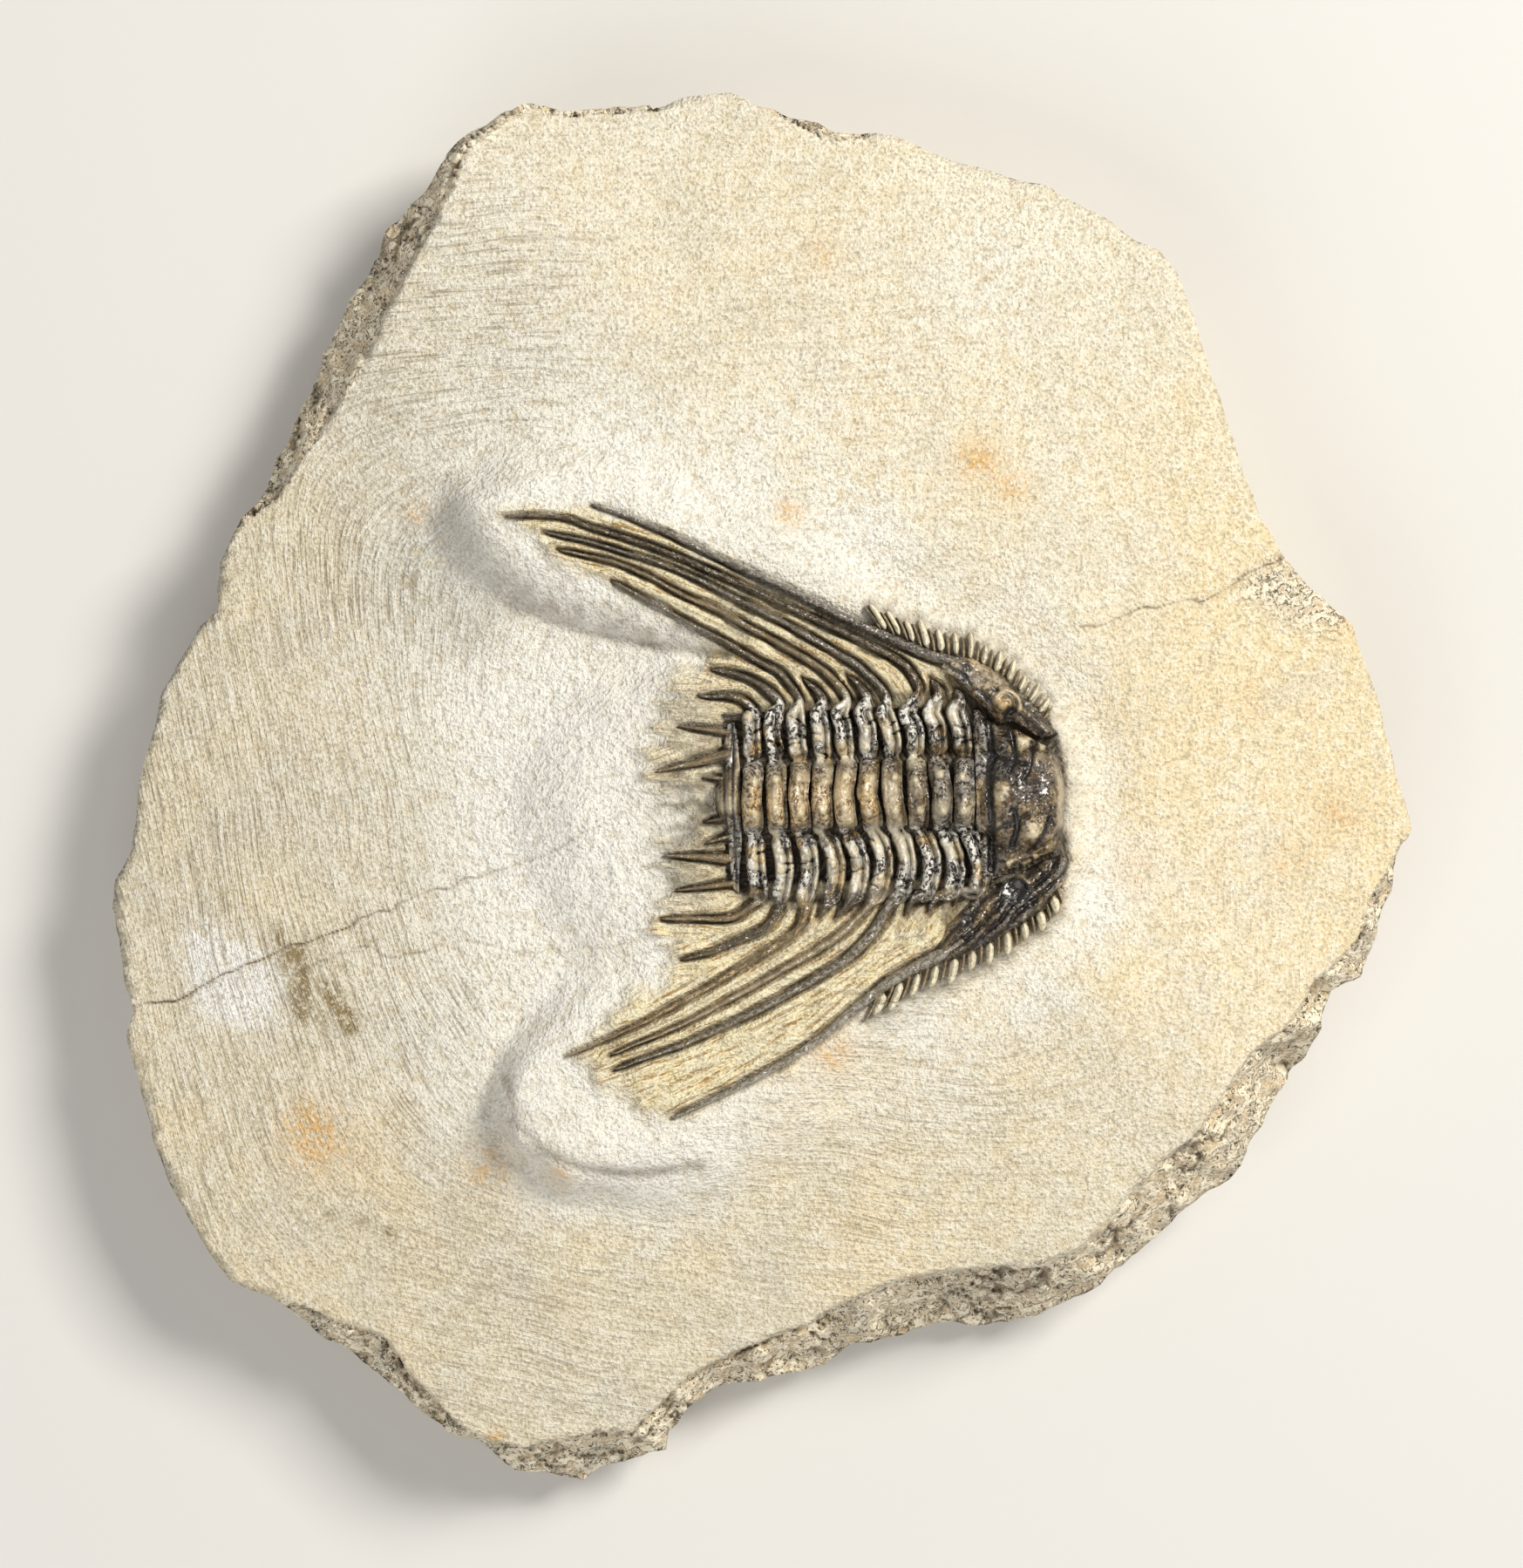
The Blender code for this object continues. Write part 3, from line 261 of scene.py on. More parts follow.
FRINGES = {"left": fringe_routes(*LEFT_FRINGE), "right": fringe_routes(*RIGHT_FRINGE)}
CRACKS = [
    [(-46.9, -16.4), (-43.5, -15.6), (-40.9, -14.1), (-37, -12.4), (-35, -11.7), (-32.5, -10.8),
     (-27.9, -8.9), (-24, -7.4), (-20.1, -6.2), (-16.2, -5), (-11.7, -2.5), (-8.5, -0.5)],
    [(-35.7, -13.9), (-34.1, -13.5), (-31.2, -12.2), (-29.2, -11.7), (-27.9, -12.4), (-25.3, -12.2),
     (-22.7, -11.2), (-17.5, -11.9), (-12.3, -11.7), (-8.1, -11.2)],
    [(24, 12), (25.4, 12.3), (27.9, 13.2), (30.8, 13.8), (33, 14.3), (34.3, 14.7), (35.3, 15.5),
     (36.9, 16.2), (38.9, 17.4)],
]
CRACK_DEPTH = (0.2, 0.12, 0.22)
# Point spacing of the stone's mesh where it is cut finest, on the bed, on broken faces and elsewhere.
SPINE_STEP = 0.17
BED_STEP = 0.31
BROKEN_STEP = 0.25
FACE_STEP = 0.8
OUTLINE_STEP = 0.6
# How far out the spines are looked for, the finest spacing reaches, and the bed's spacing reaches.
SPINE_REACH = 4
CUT_REACH = 0.95
BED_REACH = 4.5
UNDERSIDE_STEP = 2.2
UNDERSIDE_HOLLOW = 0.35
FAR = 1e9


def rough(x, y, size, seed, z=0):
    """Smooth random relief from -1 to 1 with lumps of the given size."""
    parts = [np.asarray(p, float) / size for p in np.broadcast_arrays(x, y, z)]
    cells = [np.floor(p).astype(np.int64) for p in parts]
    shares = [(p - c) ** 2 * (3 - 2 * (p - c)) for p, c in zip(parts, cells)]
    total = 0
    for corner in range(8):
        steps = [corner >> k & 1 for k in range(3)]
        mixed = seed * 144665 + sum((c + s) * prime for c, s, prime in
                                    zip(cells, steps, (374761393, 668265263, 2147483647)))
        mixed = (mixed ^ (mixed >> 13)) * 1274126177
        value = ((mixed ^ (mixed >> 16)) & 65535) / 32767.5 - 1
        weight = 1
        for share, step in zip(shares, steps):
            weight = weight * (share if step else 1 - share)
        total = total + weight * value
    return total


def layered(x, y, size, seed, layers, z=0):
    """Relief with finer and lower lumps laid over the coarse ones."""
    return sum(rough(x, y, size / 2 ** k, seed + k, z) / 2 ** k for k in range(layers))


def to_loop(x, y, loop):
    """The distance to a closed loop, the loop's third number nearby, and whether inside."""
    near = np.full(x.shape, FAR)
    total = np.zeros(x.shape)
    weights = np.zeros(x.shape)
    inside = np.zeros(x.shape, bool)
    for (ax, ay, av), (bx, by, bv) in zip(loop, loop[1:] + loop[:1]):
        dx, dy = bx - ax, by - ay
        share = np.clip(((x - ax) * dx + (y - ay) * dy) / (dx * dx + dy * dy), 0, 1)
        away = np.hypot(x - ax - share * dx, y - ay - share * dy)
        near = np.minimum(near, away)
        weight = (away + 0.1) ** -4
        weights += weight
        total += weight * (av + share * (bv - av))
        if ay != by:
            inside ^= ((ay > y) != (by > y)) & (x < ax + (y - ay) * dx / dy)
    return near, total / weights, inside


def body_place(x, y):
    """How far a point is forward of the tail end, and how far to the animal's left."""
    dx, dy = x - TAIL[0], y - TAIL[1]
    along = dx * math.cos(BODY_TURN) + dy * math.sin(BODY_TURN)
    return along, dy * math.cos(BODY_TURN) - dx * math.sin(BODY_TURN)


def tree_of(places):
    tree = KDTree(len(places))
    for i, place in enumerate(places):
        tree.insert((place[0], place[1], 0), i)
    tree.balance()
    return tree


def nearest(tree, x, y):
    """For each point, the distance to the nearest place of a tree and that place's number."""
    found = [tree.find((px, py, 0)) for px, py in zip(x.tolist(), y.tolist())]
    return np.array([f[2] for f in found]), np.array([f[1] for f in found])


def spine_samples():
    """Places along all the spines: x, y, half width, how far out from the root, and the heading."""
    rows = []
    short = [(route, 0.42, 0.16) for route in FRINGES["left"] + FRINGES["right"]]
    for points, root, tip in LEFT_SPINES + RIGHT_SPINES + TAIL_SPINES + [LEFT_GENAL, RIGHT_GENAL] + short:
        route = smooth_route(points, 0.1)
        share = np.linspace(0, 1, len(route))
        half = (root + (tip - root) * share) / 2 * np.clip((1 - share) * len(route) / 8, 0.3, 1)
        heading = np.gradient(route, axis=0)
        heading /= np.hypot(*heading.T)[:, None]
        rows.append(np.column_stack([route, half, share * len(route) * 0.1, heading]))
    return np.concatenate(rows)


SPINE_PLACES = spine_samples()
SPINE_TREE = tree_of(SPINE_PLACES)
CRACK_PLACES = np.concatenate([
    np.column_stack([smooth_route(line, 0.15), np.full(len(smooth_route(line, 0.15)), depth)])
    for line, depth in zip(CRACKS, CRACK_DEPTH)])
CRACK_PLACES[:, 0] += 0.16 * rough(CRACK_PLACES[:, 0], CRACK_PLACES[:, 1], 0.8, 51, 3)
CRACK_PLACES[:, 1] += 0.3 * rough(CRACK_PLACES[:, 0], CRACK_PLACES[:, 1], 1.1, 52, 9)
CRACK_PLACES[:, 2] *= 0.55 + 0.6 * rough(CRACK_PLACES[:, 0], CRACK_PLACES[:, 1], 2.6, 53)
CRACK_PLACES[:, 2] *= smooth_step(0, 24, abs(CRACK_PLACES[:, 0] + 6)) * 0.65 + 0.35
CRACK_TREE = tree_of(CRACK_PLACES)


def from_spines(x, y):
    """The distance to the side of the nearest spine, and the place beside and out along its line."""
    away, number = nearest(SPINE_TREE, x, y)
    at_x, at_y, half, out, way_x, way_y = SPINE_PLACES[number].T
    beside = abs((x - at_x) * way_y - (y - at_y) * way_x)
    return away - half, beside - half, out + (x - at_x) * way_x + (y - at_y) * way_y


def stone_form(x, y):
    """The prepared face's large shape, and how far a point is out on the broken side, from 0 to 1."""
    total = 0
    for height, at_x, at_y, slope_x, slope_y, _ in GROUND_FACETS.values():
        total = total + np.exp(-(height + slope_x * (x - at_x) + slope_y * (y - at_y)) / CREASE)
    floor = -CREASE * np.log(total)
    along, across = body_place(x, y)
    arch = np.cos(np.clip(across / CORE_HALF_WIDTH, -1, 1) * math.pi / 2) ** 2
    length = smooth_step(0, 2.5, along) * smooth_step(0.5, 4, BODY_LENGTH - along)
    bed = BED_HEIGHT + CORE_RISE * arch * length
    away, flank, inside = to_loop(x, y, BED_EDGE)
    away = np.where(inside, 0, away)
    even = smooth_step(4.5, 7.5, flank)
    raised = smooth_step(1, 0, away / flank) * (1 - even) + np.clip(1 - away / flank, 0, 1) * even
    moat = MOAT_DEPTH * bell(away - MOAT_FROM, MOAT_WIDTH) * (away > 0)
    moat = moat * smooth_step(0, 1, away) * smooth_step(*MOAT_FADE, x)
    flank_mix = raised * (1 - raised) * 4
    moat = moat + 0.22 * flank_mix * layered(x, y, 3.2, 18, 2)
    height = floor + (bed - floor) * raised - moat
    edge, band, _ = to_loop(x, y, BLOCK_OUTLINE)
    share = np.clip(1 - edge / np.maximum(band, 0.01), 0, 1) * (band > 0.3)
    return height - BREAK_SLOPE * band * share ** BREAK_CURVE, share, raised


# The fans of spines, where the stone between is left in strands: each as a loop with no third value.
FANS = [
    [(16.5, 8.2), (15.5, 9.9)] + LEFT_GENAL[0][2:] + [(-16, 21), (-19.2, 20.6), (-16.5, 19),
     (-15.2, 17.6), (-11.4, 15.4), (-7.1, 13), (-2.6, 10.6), (-3.8, 9.2), (-7, 7.4), (-7.4, 4), (-8.2, 1),
     (-4.6, 0), (4, 0), (14, 0)],
    [(14, 0), (4, 0), (-4.6, -0.6), (-5, -3.4), (-7.6, -4.6), (-6.8, -7.2), (-7.8, -9.6), (-6.4, -12.6),
     (-11.2, -17.6), (-14.8, -19.4), (-11.6, -21.2), (-9.4, -23.6), (-6.8, -24.8), (-3.3, -23.2),
     (1.9, -20.6), (5.8, -18), (8.4, -15.8), (13.2, -12.9), (17, -12.2), (20.4, -10.6), (23, -7.2),
     (23.2, -5), (16.5, -8.4)],
]
FANS = [[(*point, 0) for point in fan] for fan in FANS]
# Round the whole body, where the stone between and round the plates is painted dark, as shade between the
# parts and as dark stone.
BODY_EDGE = [(*point, 0) for point in (
    (22.7, 0.2), (22.4, 2.5), (22, 4.2), (20.7, 6), (18.5, 8), (16, 9.4), (14.2, 9.2), (13.6, 7.4),
    (4, 6.6), (-1, 6), (-1.8, 4), (-2.4, 0), (-2, -5), (-1.6, -7.4), (0, -8), (8, -8.4),
    (13.6, -8.4), (14.2, -11), (16.5, -11.2), (19.4, -9.6), (21.2, -8.4), (22.6, -6.6), (22.9, -5),
    (22.6, -2.6))]
# Two sizes of strand: height, width, length and seed.
STRANDS = ((0.16, 0.26, 2.6, 21), (0.24, 0.6, 4, 22))
RIDGE_HEIGHT = 0.55
GROOVE_DEPTH = 0.26
GROOVE_WIDTH = 0.16
CRACK_WIDTH = 0.09
LEDGES = 2.2
CREVICE_DEPTH = 0.55
# The bowl that was blasted clean, and the dark stone behind the tail, each as its place and reach.
BOWL = ((-15.5, -1), (8.6, 12.5))
BEHIND_TAIL = ((-4.6, -1), (3.2, 7.5))
# The chiselled foot of the bed under each fan: its route, half width and depth. A painted shadow runs along
# each foot, with painted shade on the slope above the upper one.
FOOT_LINES = [
    ([(-19, 13.8), (-16.5, 13), (-14.4, 12.2), (-10.5, 11.3), (-6.5, 10.6), (-2.4, 10.1)], 0.5, 0.5),
    ([(-18.8, -21.6), (-18, -24.4), (-16.2, -26.6), (-13, -28.1), (-8.5, -28.5), (-4.5, -27.9)], 0.4, 0.35),
]


def furrows(x, y, lines):
    """The depth of furrows, each given as its route, half width and depth."""
    depth = np.zeros(x.shape)
    for points, half, deep in lines:
        route = smooth_route(points, 0.15)
        low, high = route.min(0) - 4 * half, route.max(0) + 4 * half
        near = (x > low[0]) & (x < high[0]) & (y > low[1]) & (y < high[1])
        away = np.hypot(x[near, None] - route[:, 0], y[near, None] - route[:, 1]).min(1, initial=FAR)
        depth[near] = np.maximum(depth[near], deep * bell(away, half))
    return depth


def under_body(x, y):
    along, across = body_place(x, y)
    return (abs(across) < 6.3) & (along > 0.8) & (along < BODY_LENGTH - 0.9)


def oval(x, y, place, reach):
    """A spot with an even middle, twice as far across as its reach."""
    return np.exp(-(((x - place[0]) / reach[0]) ** 4 + ((y - place[1]) / reach[1]) ** 4))


def abrasion(x, y):
    """Where the stone was blasted pale: on the bed, round it, and over the bowl behind the tail."""
    bed, _, within = to_loop(x, y, BED_EDGE)
    uneven = layered(x, y, 5, 12, 3)
    near = smooth_step(8.5, 1.5, np.where(within, 0, bed) + 2.8 * uneven)
    near = near * (0.45 + 0.4 * smooth_step(4, -8, x)) * smooth_step(-28, -24.5, x + 1.2 * uneven)
    return np.maximum(near, oval(x, y, *BOWL))


def broken_relief(x, y, share):
    """How far the broken sides reach in, the height of their ledges, and the crevices between, which also get
    painted shade.
    """
    broken = smooth_step(0, 0.06, share)
    ledges = np.round(layered(x, y, 5, 31, 2) * LEDGES) / LEDGES + 0.9 * layered(x, y, 2.6, 33, 5)
    ledges = ledges + 0.5 * (0.5 - abs(layered(x, y, 1.3, 37, 3)))
    ledges = ledges - bell(share - 0.12, 0.09) * (0.6 + 0.6 * rough(x, y, 3, 36))
    around = np.arctan2(y, x) * 45
    layers = abs(layered(around / 3.4, share * 2.6 + 0.5 * rough(x, y, 3, 39), 1, 38, 3))
    shaded_crevice = broken * smooth_step(0.13, 0.03, layers) * smooth_step(-0.5, 0.2, rough(x, y, 3.4, 40))
    return broken, broken * (ledges - CREVICE_DEPTH * shaded_crevice) * smooth_step(1.25, 0.8, share), shaded_crevice


def stone_top(x, y):
    """The finished height of the prepared face, and the masks that its finish needs."""
    height, share, raised = stone_form(x, y)
    away, beside, out = from_spines(x, y)
    body = under_body(x, y)
    fan = np.zeros(x.shape)
    fingers = 1.3 * rough(x * 0.2, y, 0.5, 23, 3) * smooth_step(-4, -6.5, x) * (abs(y + 1) < 11)
    for loop in FANS:
        beyond, _, inside = to_loop(x, y, loop)
        wavy = np.where(inside, beyond, -beyond) + 0.7 * layered(x, y, 2.4, 17, 3, 7) + fingers
        fan = np.maximum(fan, smooth_step(-0.9, 0.9, wavy))
    fan = fan * ~body
    ridge = RIDGE_HEIGHT * (0.7 + 0.5 * rough(x, y, 1.7, 11)) * smooth_step(0, 0.3, away) * fan
    # Each groove beside a spine is cut into the stone and also painted dark as shade.
    shaded_groove = bell(away - 0.05, GROOVE_WIDTH) * smooth_step(-0.4, -0.05, away) * np.maximum(fan, 0.6 * raised)
    shaded_groove = shaded_groove * ~body * (0.75 + 0.3 * rough(x, y, 1.1, 13))
    strands = sum(rise * rough(beside / width, out / length, 1, seed)
                  for rise, width, length, seed in STRANDS)
    strands = strands * fan * smooth_step(0.08, 0.35, away)
    crack, number = nearest(CRACK_TREE, x, y)
    crack = bell(crack, CRACK_WIDTH) * CRACK_PLACES[number, 2]
    foot = furrows(x, y, FOOT_LINES) * (0.85 + 0.25 * rough(x, y, 4, 19))
    abraded = abrasion(x, y)
    pecked = 0.07 * layered(x, y, 1.5, 14, 3) - 0.05 * abs(layered(x, y, 2.6, 15, 2, 5))
    uneven = 0.14 * rough(x, y, 9, 1) + 0.07 * rough(x, y, 3.4, 2)
    broken, ledges, shaded_crevice = broken_relief(x, y, share)
    height = height + ridge - GROOVE_DEPTH * shaded_groove + strands + abraded * (1 - fan) * pecked - crack - foot
    height = height + uneven * (1 - raised * 0.6) + ledges
    # The ridge mask also paints a highlight on the crests, and the crevices add painted shade to the crack
    # mask.
    return height, {"share": share, "broken": broken, "ridge": ridge, "shaded_groove": shaded_groove, "away": beside,
                    "out": out, "crack": np.maximum(crack, 0.13 * shaded_crevice), "fan": fan, "abraded": abraded}


def grid(low, high, step, seed):
    """A jittered triangular grid of points over a box."""
    rows = int((high[1] - low[1]) / (step * 0.87)) + 1
    columns = int((high[0] - low[0]) / step) + 1
    row, column = np.mgrid[0:rows, 0:columns]
    jitter = np.random.default_rng(seed).uniform(-0.18, 0.18, (2, rows, columns)) * step
    x = low[0] + (column + 0.5 * (row % 2)) * step + jitter[0]
    y = low[1] + row * step * 0.87 + jitter[1]
    return x.ravel(), y.ravel()


def resample(loop, step):
    found = []
    for a, b in zip(loop, loop[1:] + loop[:1]):
        count = max(1, math.ceil(math.dist(a[:2], b[:2]) / step))
        found += [tuple(p + (q - p) * i / count for p, q in zip(a, b)) for i in range(count)]
    return found


def fill(outline, x, y):
    """Triangles over an outline and the points inside it."""
    points = [Vector(p) for p in outline] + [Vector(p) for p in zip(x.tolist(), y.tolist())]
    edges = [(i, (i + 1) % len(outline)) for i in range(len(outline))]
    found = delaunay_2d_cdt(points, edges, [], 1, 1e-5)
    places = np.array([(p.x, p.y) for p in found[0]])
    faces = np.array([tuple(face) for face in found[2]])
    a, b, c = (places[faces[:, k]] for k in range(3))
    turn = (b[:, 0] - a[:, 0]) * (c[:, 1] - a[:, 1]) - (b[:, 1] - a[:, 1]) * (c[:, 0] - a[:, 0])
    faces[turn < 0] = faces[turn < 0][:, ::-1]
    return places, faces


def make_piece(name, verts, faces, masks, material, slot, nodes):
    """A smooth mesh piece with its masks, standing for the CAD nodes that it replaces."""
    mesh = bpy.data.meshes.new(name)
    mesh.from_pydata((np.asarray(verts) * MM).tolist(), [], faces)
    for mask, values in masks.items():
        values = np.asarray(values, np.float32)
        layer = mesh.attributes.new(mask, "FLOAT_VECTOR", "POINT")
        layer.data.foreach_set("vector", np.ascontiguousarray(values).ravel())
    mesh.materials.append(material)
    mesh.shade_smooth()
    piece = bpy.data.objects.new(name, mesh)
    scene.collection.objects.link(piece)
    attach(piece, "root")
    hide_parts(*nodes)


# The section of a bar: shares of its half width across its top side and then back under it.
ACROSS = np.linspace(-1, 1, 21)
BELOW = np.array([0.7, 0, -0.7])
SPINE_SHAPE = np.sqrt(1 - 0.97 * ACROSS ** 2)
SMALL_STEP = 0.12
SMALL_SUNK = 0.3


def base_at(x, y):
    """The height of the stone's large shape at a place."""
    return stone_form(np.atleast_1d(np.asarray(x, float)), np.atleast_1d(np.asarray(y, float)))[0]


def sweep(x, y, low, high, width, tops, wobble, seed):
    """A closed bar along a route. Its top side has the given shape at each station."""
    dx, dy = np.gradient(x), np.gradient(y)
    length = np.hypot(dx, dy)
    at = np.concatenate([ACROSS, BELOW])
    ring = len(at)
    up = np.concatenate([tops, np.zeros((len(x), len(BELOW)))], 1)
    px = x[:, None] - (dy / length)[:, None] * at * width[:, None] / 2
    py = y[:, None] + (dx / length)[:, None] * at * width[:, None] / 2
    pz = low[:, None] + (high - low)[:, None] * up
    chips = smooth_step(0.22, 0.34, layered(px, py, 1.1, seed + 4, 2))
    pz = pz + (layered(px, py, 0.75, seed, 3) - 1.6 * chips) * wobble * np.clip(up * 1.5, 0, 1)
    side = layered(px, py, 0.9, seed + 9, 2, pz) * 0.5 * wobble
    px = px - (dy / length)[:, None] * side
    py = py + (dx / length)[:, None] * side
    verts = np.stack([px, py, pz], 2).reshape(-1, 3)
    count = len(x)
    first, j = np.meshgrid(np.arange(count - 1) * ring, np.arange(ring), indexing="ij")
    k = (j + 1) % ring
    faces = np.stack([first + j, first + k, first + ring + k, first + ring + j], 2).reshape(-1, 4).tolist()
    faces.append(list(range(ring))[::-1])
    faces.append(list(range((count - 1) * ring, count * ring)))
    return verts, faces, up.ravel()


def ends(count, step, reach=0.5):
    """A factor that rounds off both ends of a bar."""
    at = np.arange(count) * step
    return np.sqrt(np.clip(np.minimum(at, at[::-1]) / reach, 0.02, 1))


def small_spine(points, root, tip, hue, seed, rise=0.55, wobble=0.03):
    """A tapered spine that lies on the stone, closed at both ends."""
    route = smooth_route(points, SMALL_STEP)
    x, y = route[:, 0], route[:, 1]
    width = np.linspace(root, tip, len(x)) * ends(len(x), SMALL_STEP, 0.35)
    base = base_at(x, y)
    high = base + (rise + 0.5 * np.linspace(root, tip, len(x))) * np.clip(width / root * 2, 0.4, 1)
    tops = np.tile(SPINE_SHAPE, (len(x), 1))
    verts, faces, up = sweep(x, y, base - SMALL_SUNK, high, width, tops, wobble, seed)
    count = len(verts)
    # The height share up the spine, which sets painted glints on its top and painted shade on its sides.
    light_shade_and_wear = np.column_stack([up * 0.55 + 0.25, np.zeros(count), np.zeros(count)])
    return verts, faces, np.tile(hue, (count, 1)), light_shade_and_wear


def block_outline():
    """The outline with the small nicks of a stone's edge."""
    loop = resample(BLOCK_OUTLINE, OUTLINE_STEP)
    x, y, band = np.array(loop).T
    nick = 0.16 + 0.14 * np.clip(band, 0, 1.5)
    x = x + nick * layered(x, y, 2.4, 41, 3)
    y = y + nick * layered(x, y, 2.4, 44, 3, 5)
    return list(zip(x.tolist(), y.tolist(), band.tolist()))


def stone_points(outline):
    """Points for the prepared face in four spacings, from the cuts beside the spines outwards."""
    found = []
    for zone, step in enumerate((SPINE_STEP, BED_STEP, BROKEN_STEP, FACE_STEP)):
        low, high = ((-27, -32), (29, 29)) if zone < 2 else ((-50, -54), (50, 54))
        x, y = grid(low, high, step, 60 + zone)
        edge, band, within = to_loop(x, y, outline)
        x, y, edge, band = (v[within & (edge > 0.45 * step)] for v in (x, y, edge, band))
        bed, _, inside = to_loop(x, y, BED_EDGE)
        bed = np.where(inside, 0, bed)
        away = np.full(x.shape, FAR)
        near = bed < SPINE_REACH
        away[near] = from_spines(x[near], y[near])[0]
        hidden = under_body(x, y)
        crack = nearest(CRACK_TREE, x, y)[0] if zone in (2, 3) else np.full(x.shape, FAR)
        zones = np.where((away < CUT_REACH) & ~hidden, 0, np.where((bed < BED_REACH) & ~hidden, 1, 3))
        zones = np.where(hidden, 2, zones)
        zones = np.where((zones == 3) & (edge < band + 0.8) & (band > 0.3), 2, zones)
        zones = np.where((zones == 3) & (crack < 0.7), 2, zones)
        kept = (zones == zone) & (crack > 0.3)
        found.append(np.column_stack([x[kept], y[kept]]))
    found.append(CRACK_PLACES[::2, :2])
    for side in (-0.17, 0.17):
        found.append(CRACK_PLACES[::2, :2] + (0.4 * side, side))
    points = np.concatenate(found)
    edge, _, within = to_loop(points[:, 0], points[:, 1], outline)
    return points[within & (edge > 0.2)].T


def spot(x, y, spots):
    """Soft-edged round spots, each given as x, y, radius and strength."""
    total = 0
    for at_x, at_y, radius, strength in spots:
        total = total + strength * np.exp(-((x - at_x) ** 2 + (y - at_y) ** 2) / radius ** 2)
    return total


# The pale spots at (-10, -28.5) and (-4, -27.5) are painted light against the shading of the lower fan's
# bottom flank.
PALE_SPOTS = [
    (-17, 5, 6, 0.4), (-14, -8, 7, 0.4), (16.8, -19, 2.6, 0.6), (12.9, -23.5, 3, 0.6), (26, 2, 3, 0.4),
    (26.5, -6, 3, 0.5), (5, 18.5, 4, 0.5), (-4, 22, 4, 0.5), (-20, 22, 4, 0.5), (-17, -23, 3, 0.7),
    (22, 10.5, 3, 0.4), (-10, -28.5, 3.2, 0.9), (-4, -27.5, 3, 0.7), (20, -15.5, 2.5, 0.8),
    (24.5, -9.5, 2.2, 0.6), (12, -18, 2.5, 0.7),
]
WARM_SPOTS = [(38, -2, 12, 0.8), (32, 10, 9, 0.4), (14, 24, 9, 0.4), (4, 30, 12, 0.3),
              (22, -20, 12, 0.25), (-10.5, -22, 5, 0.5), (4, -16, 6, 0.5)]
# The grey spots at (-22.5, 18), (-20.5, 13.5) and (-19.5, -27) are painted shade on the shaded noses of the
# two fans.
GREY_SPOTS = [
    (-5.8, -1, 4.2, 1), (-5.4, 5.5, 3, 0.8), (-6, -7.5, 2.6, 0.6), (-25, 14, 5, 0.6), (-24, 30, 10, 0.3),
    (-22.5, 18, 3.6, 1.5), (-20.5, 13.5, 3, 1.3), (-19.5, -27, 5, 0.7), (-4, -46, 12, 0.25),
    (40, 14.2, 3, 0.7), (-18, -44, 8, 0.3),
]
RUST_SPOTS = [(16.2, 24.5, 1.6, 0.9), (18.8, 22.5, 1.4, 0.7), (2.2, 20.6, 1.1, 0.8), (4.8, 40, 1.2, 0.5),
              (-33.7, -25.5, 2.4, 0.8), (5.5, -19.6, 1.4, 0.9), (27.9, -6, 1.6, 0.5), (39.5, -5.4, 1.6, 0.5),
              (43.4, -1.5, 2, 0.6), (43.7, 12.1, 1, 0.5), (-25.6, 20.9, 0.9, 0.8), (36.9, 7, 1.6, 0.3),
              (-20.1, -28.1, 1.8, 0.7), (-14.9, -28.7, 0.9, 0.8), (-19.8, -48.7, 0.7, 1), (-32, -27, 3, 0.3)]
OLIVE_STREAKS = [
    ([(-36, -10.6), (-35.5, -12.2), (-35.9, -13.2)], 0.5, 1.2),
    ([(-34.6, -11.8), (-34.2, -13.6), (-34, -15.6)], 0.5, 1),
    ([(-35, -14.8), (-34.7, -15.9), (-34.3, -16.6)], 0.6, 1.2),
    ([(-32.4, -14.8), (-31.4, -16.2), (-30.6, -17.6)], 0.7, 1.1),
    ([(-33, -16.6), (-32.6, -17.4)], 0.4, 0.7),
    ([(-32.7, -31.9), (-30.4, -32.3), (-27.4, -33.2)], 0.22, 0.9),
]
UNPREPARED_SPOTS = [
    (38.2, 15.4, 1.3, 0.8), (40.4, 14.4, 1.5, 0.9), (42.6, 13.3, 1.3, 0.8), (36.4, 14.9, 0.7, 0.5),
]
FILLER_SPOTS = [
    (-41.4, -13, 1.7, 1.3), (-38.8, -13.6, 2, 1.5), (-38, -15.8, 1.9, 1.5), (-40.6, -15.6, 1.5, 1.2),
    (-42, -10.9, 1.3, 0.8),
]
# The scratches of the file follow the level lines of this field. Each row is the direction across the
# scratches of one facet, and how high the field is at the block's middle.
SCRATCH_WAYS = [(0.976, 0.215, 27), (0.29, 0.956, 31), (0.05, 1, 28), (0.05, -1, 26),
                (-1, 0.15, 36)]
SCRATCH_BEND = 5


def drop_routes():
    """The routes of the drops of pale stone left between the short spines, and the room for each."""
    found = []
    for routes in FRINGES.values():
        for i, (a, b) in enumerate(zip(routes, routes[1:])):
            route = [tuple((p + q) / 2 for p, q in zip(m, n)) for m, n in zip(a, b)]
            start = [tuple(p + (q - p) * 0.16 for p, q in zip(route[0], route[2]))]
            end = [tuple(p + (q - p) * (1.1 + 0.14 * math.sin(2.3 * i)) for p, q in zip(route[0], route[2]))]
            points = start + [route[1]] + end
            apart = math.dist(a[1], b[1])
            found.append((points, apart))
    return found


def stone_drops():
    return [small_spine(points, (0.46 + 0.1 * math.sin(5 * i)) * apart, 0.32 * apart, (0, 0, 0), 700 + i,
                        0.7, 0.06)[:2]
            for i, (points, apart) in enumerate(drop_routes())]


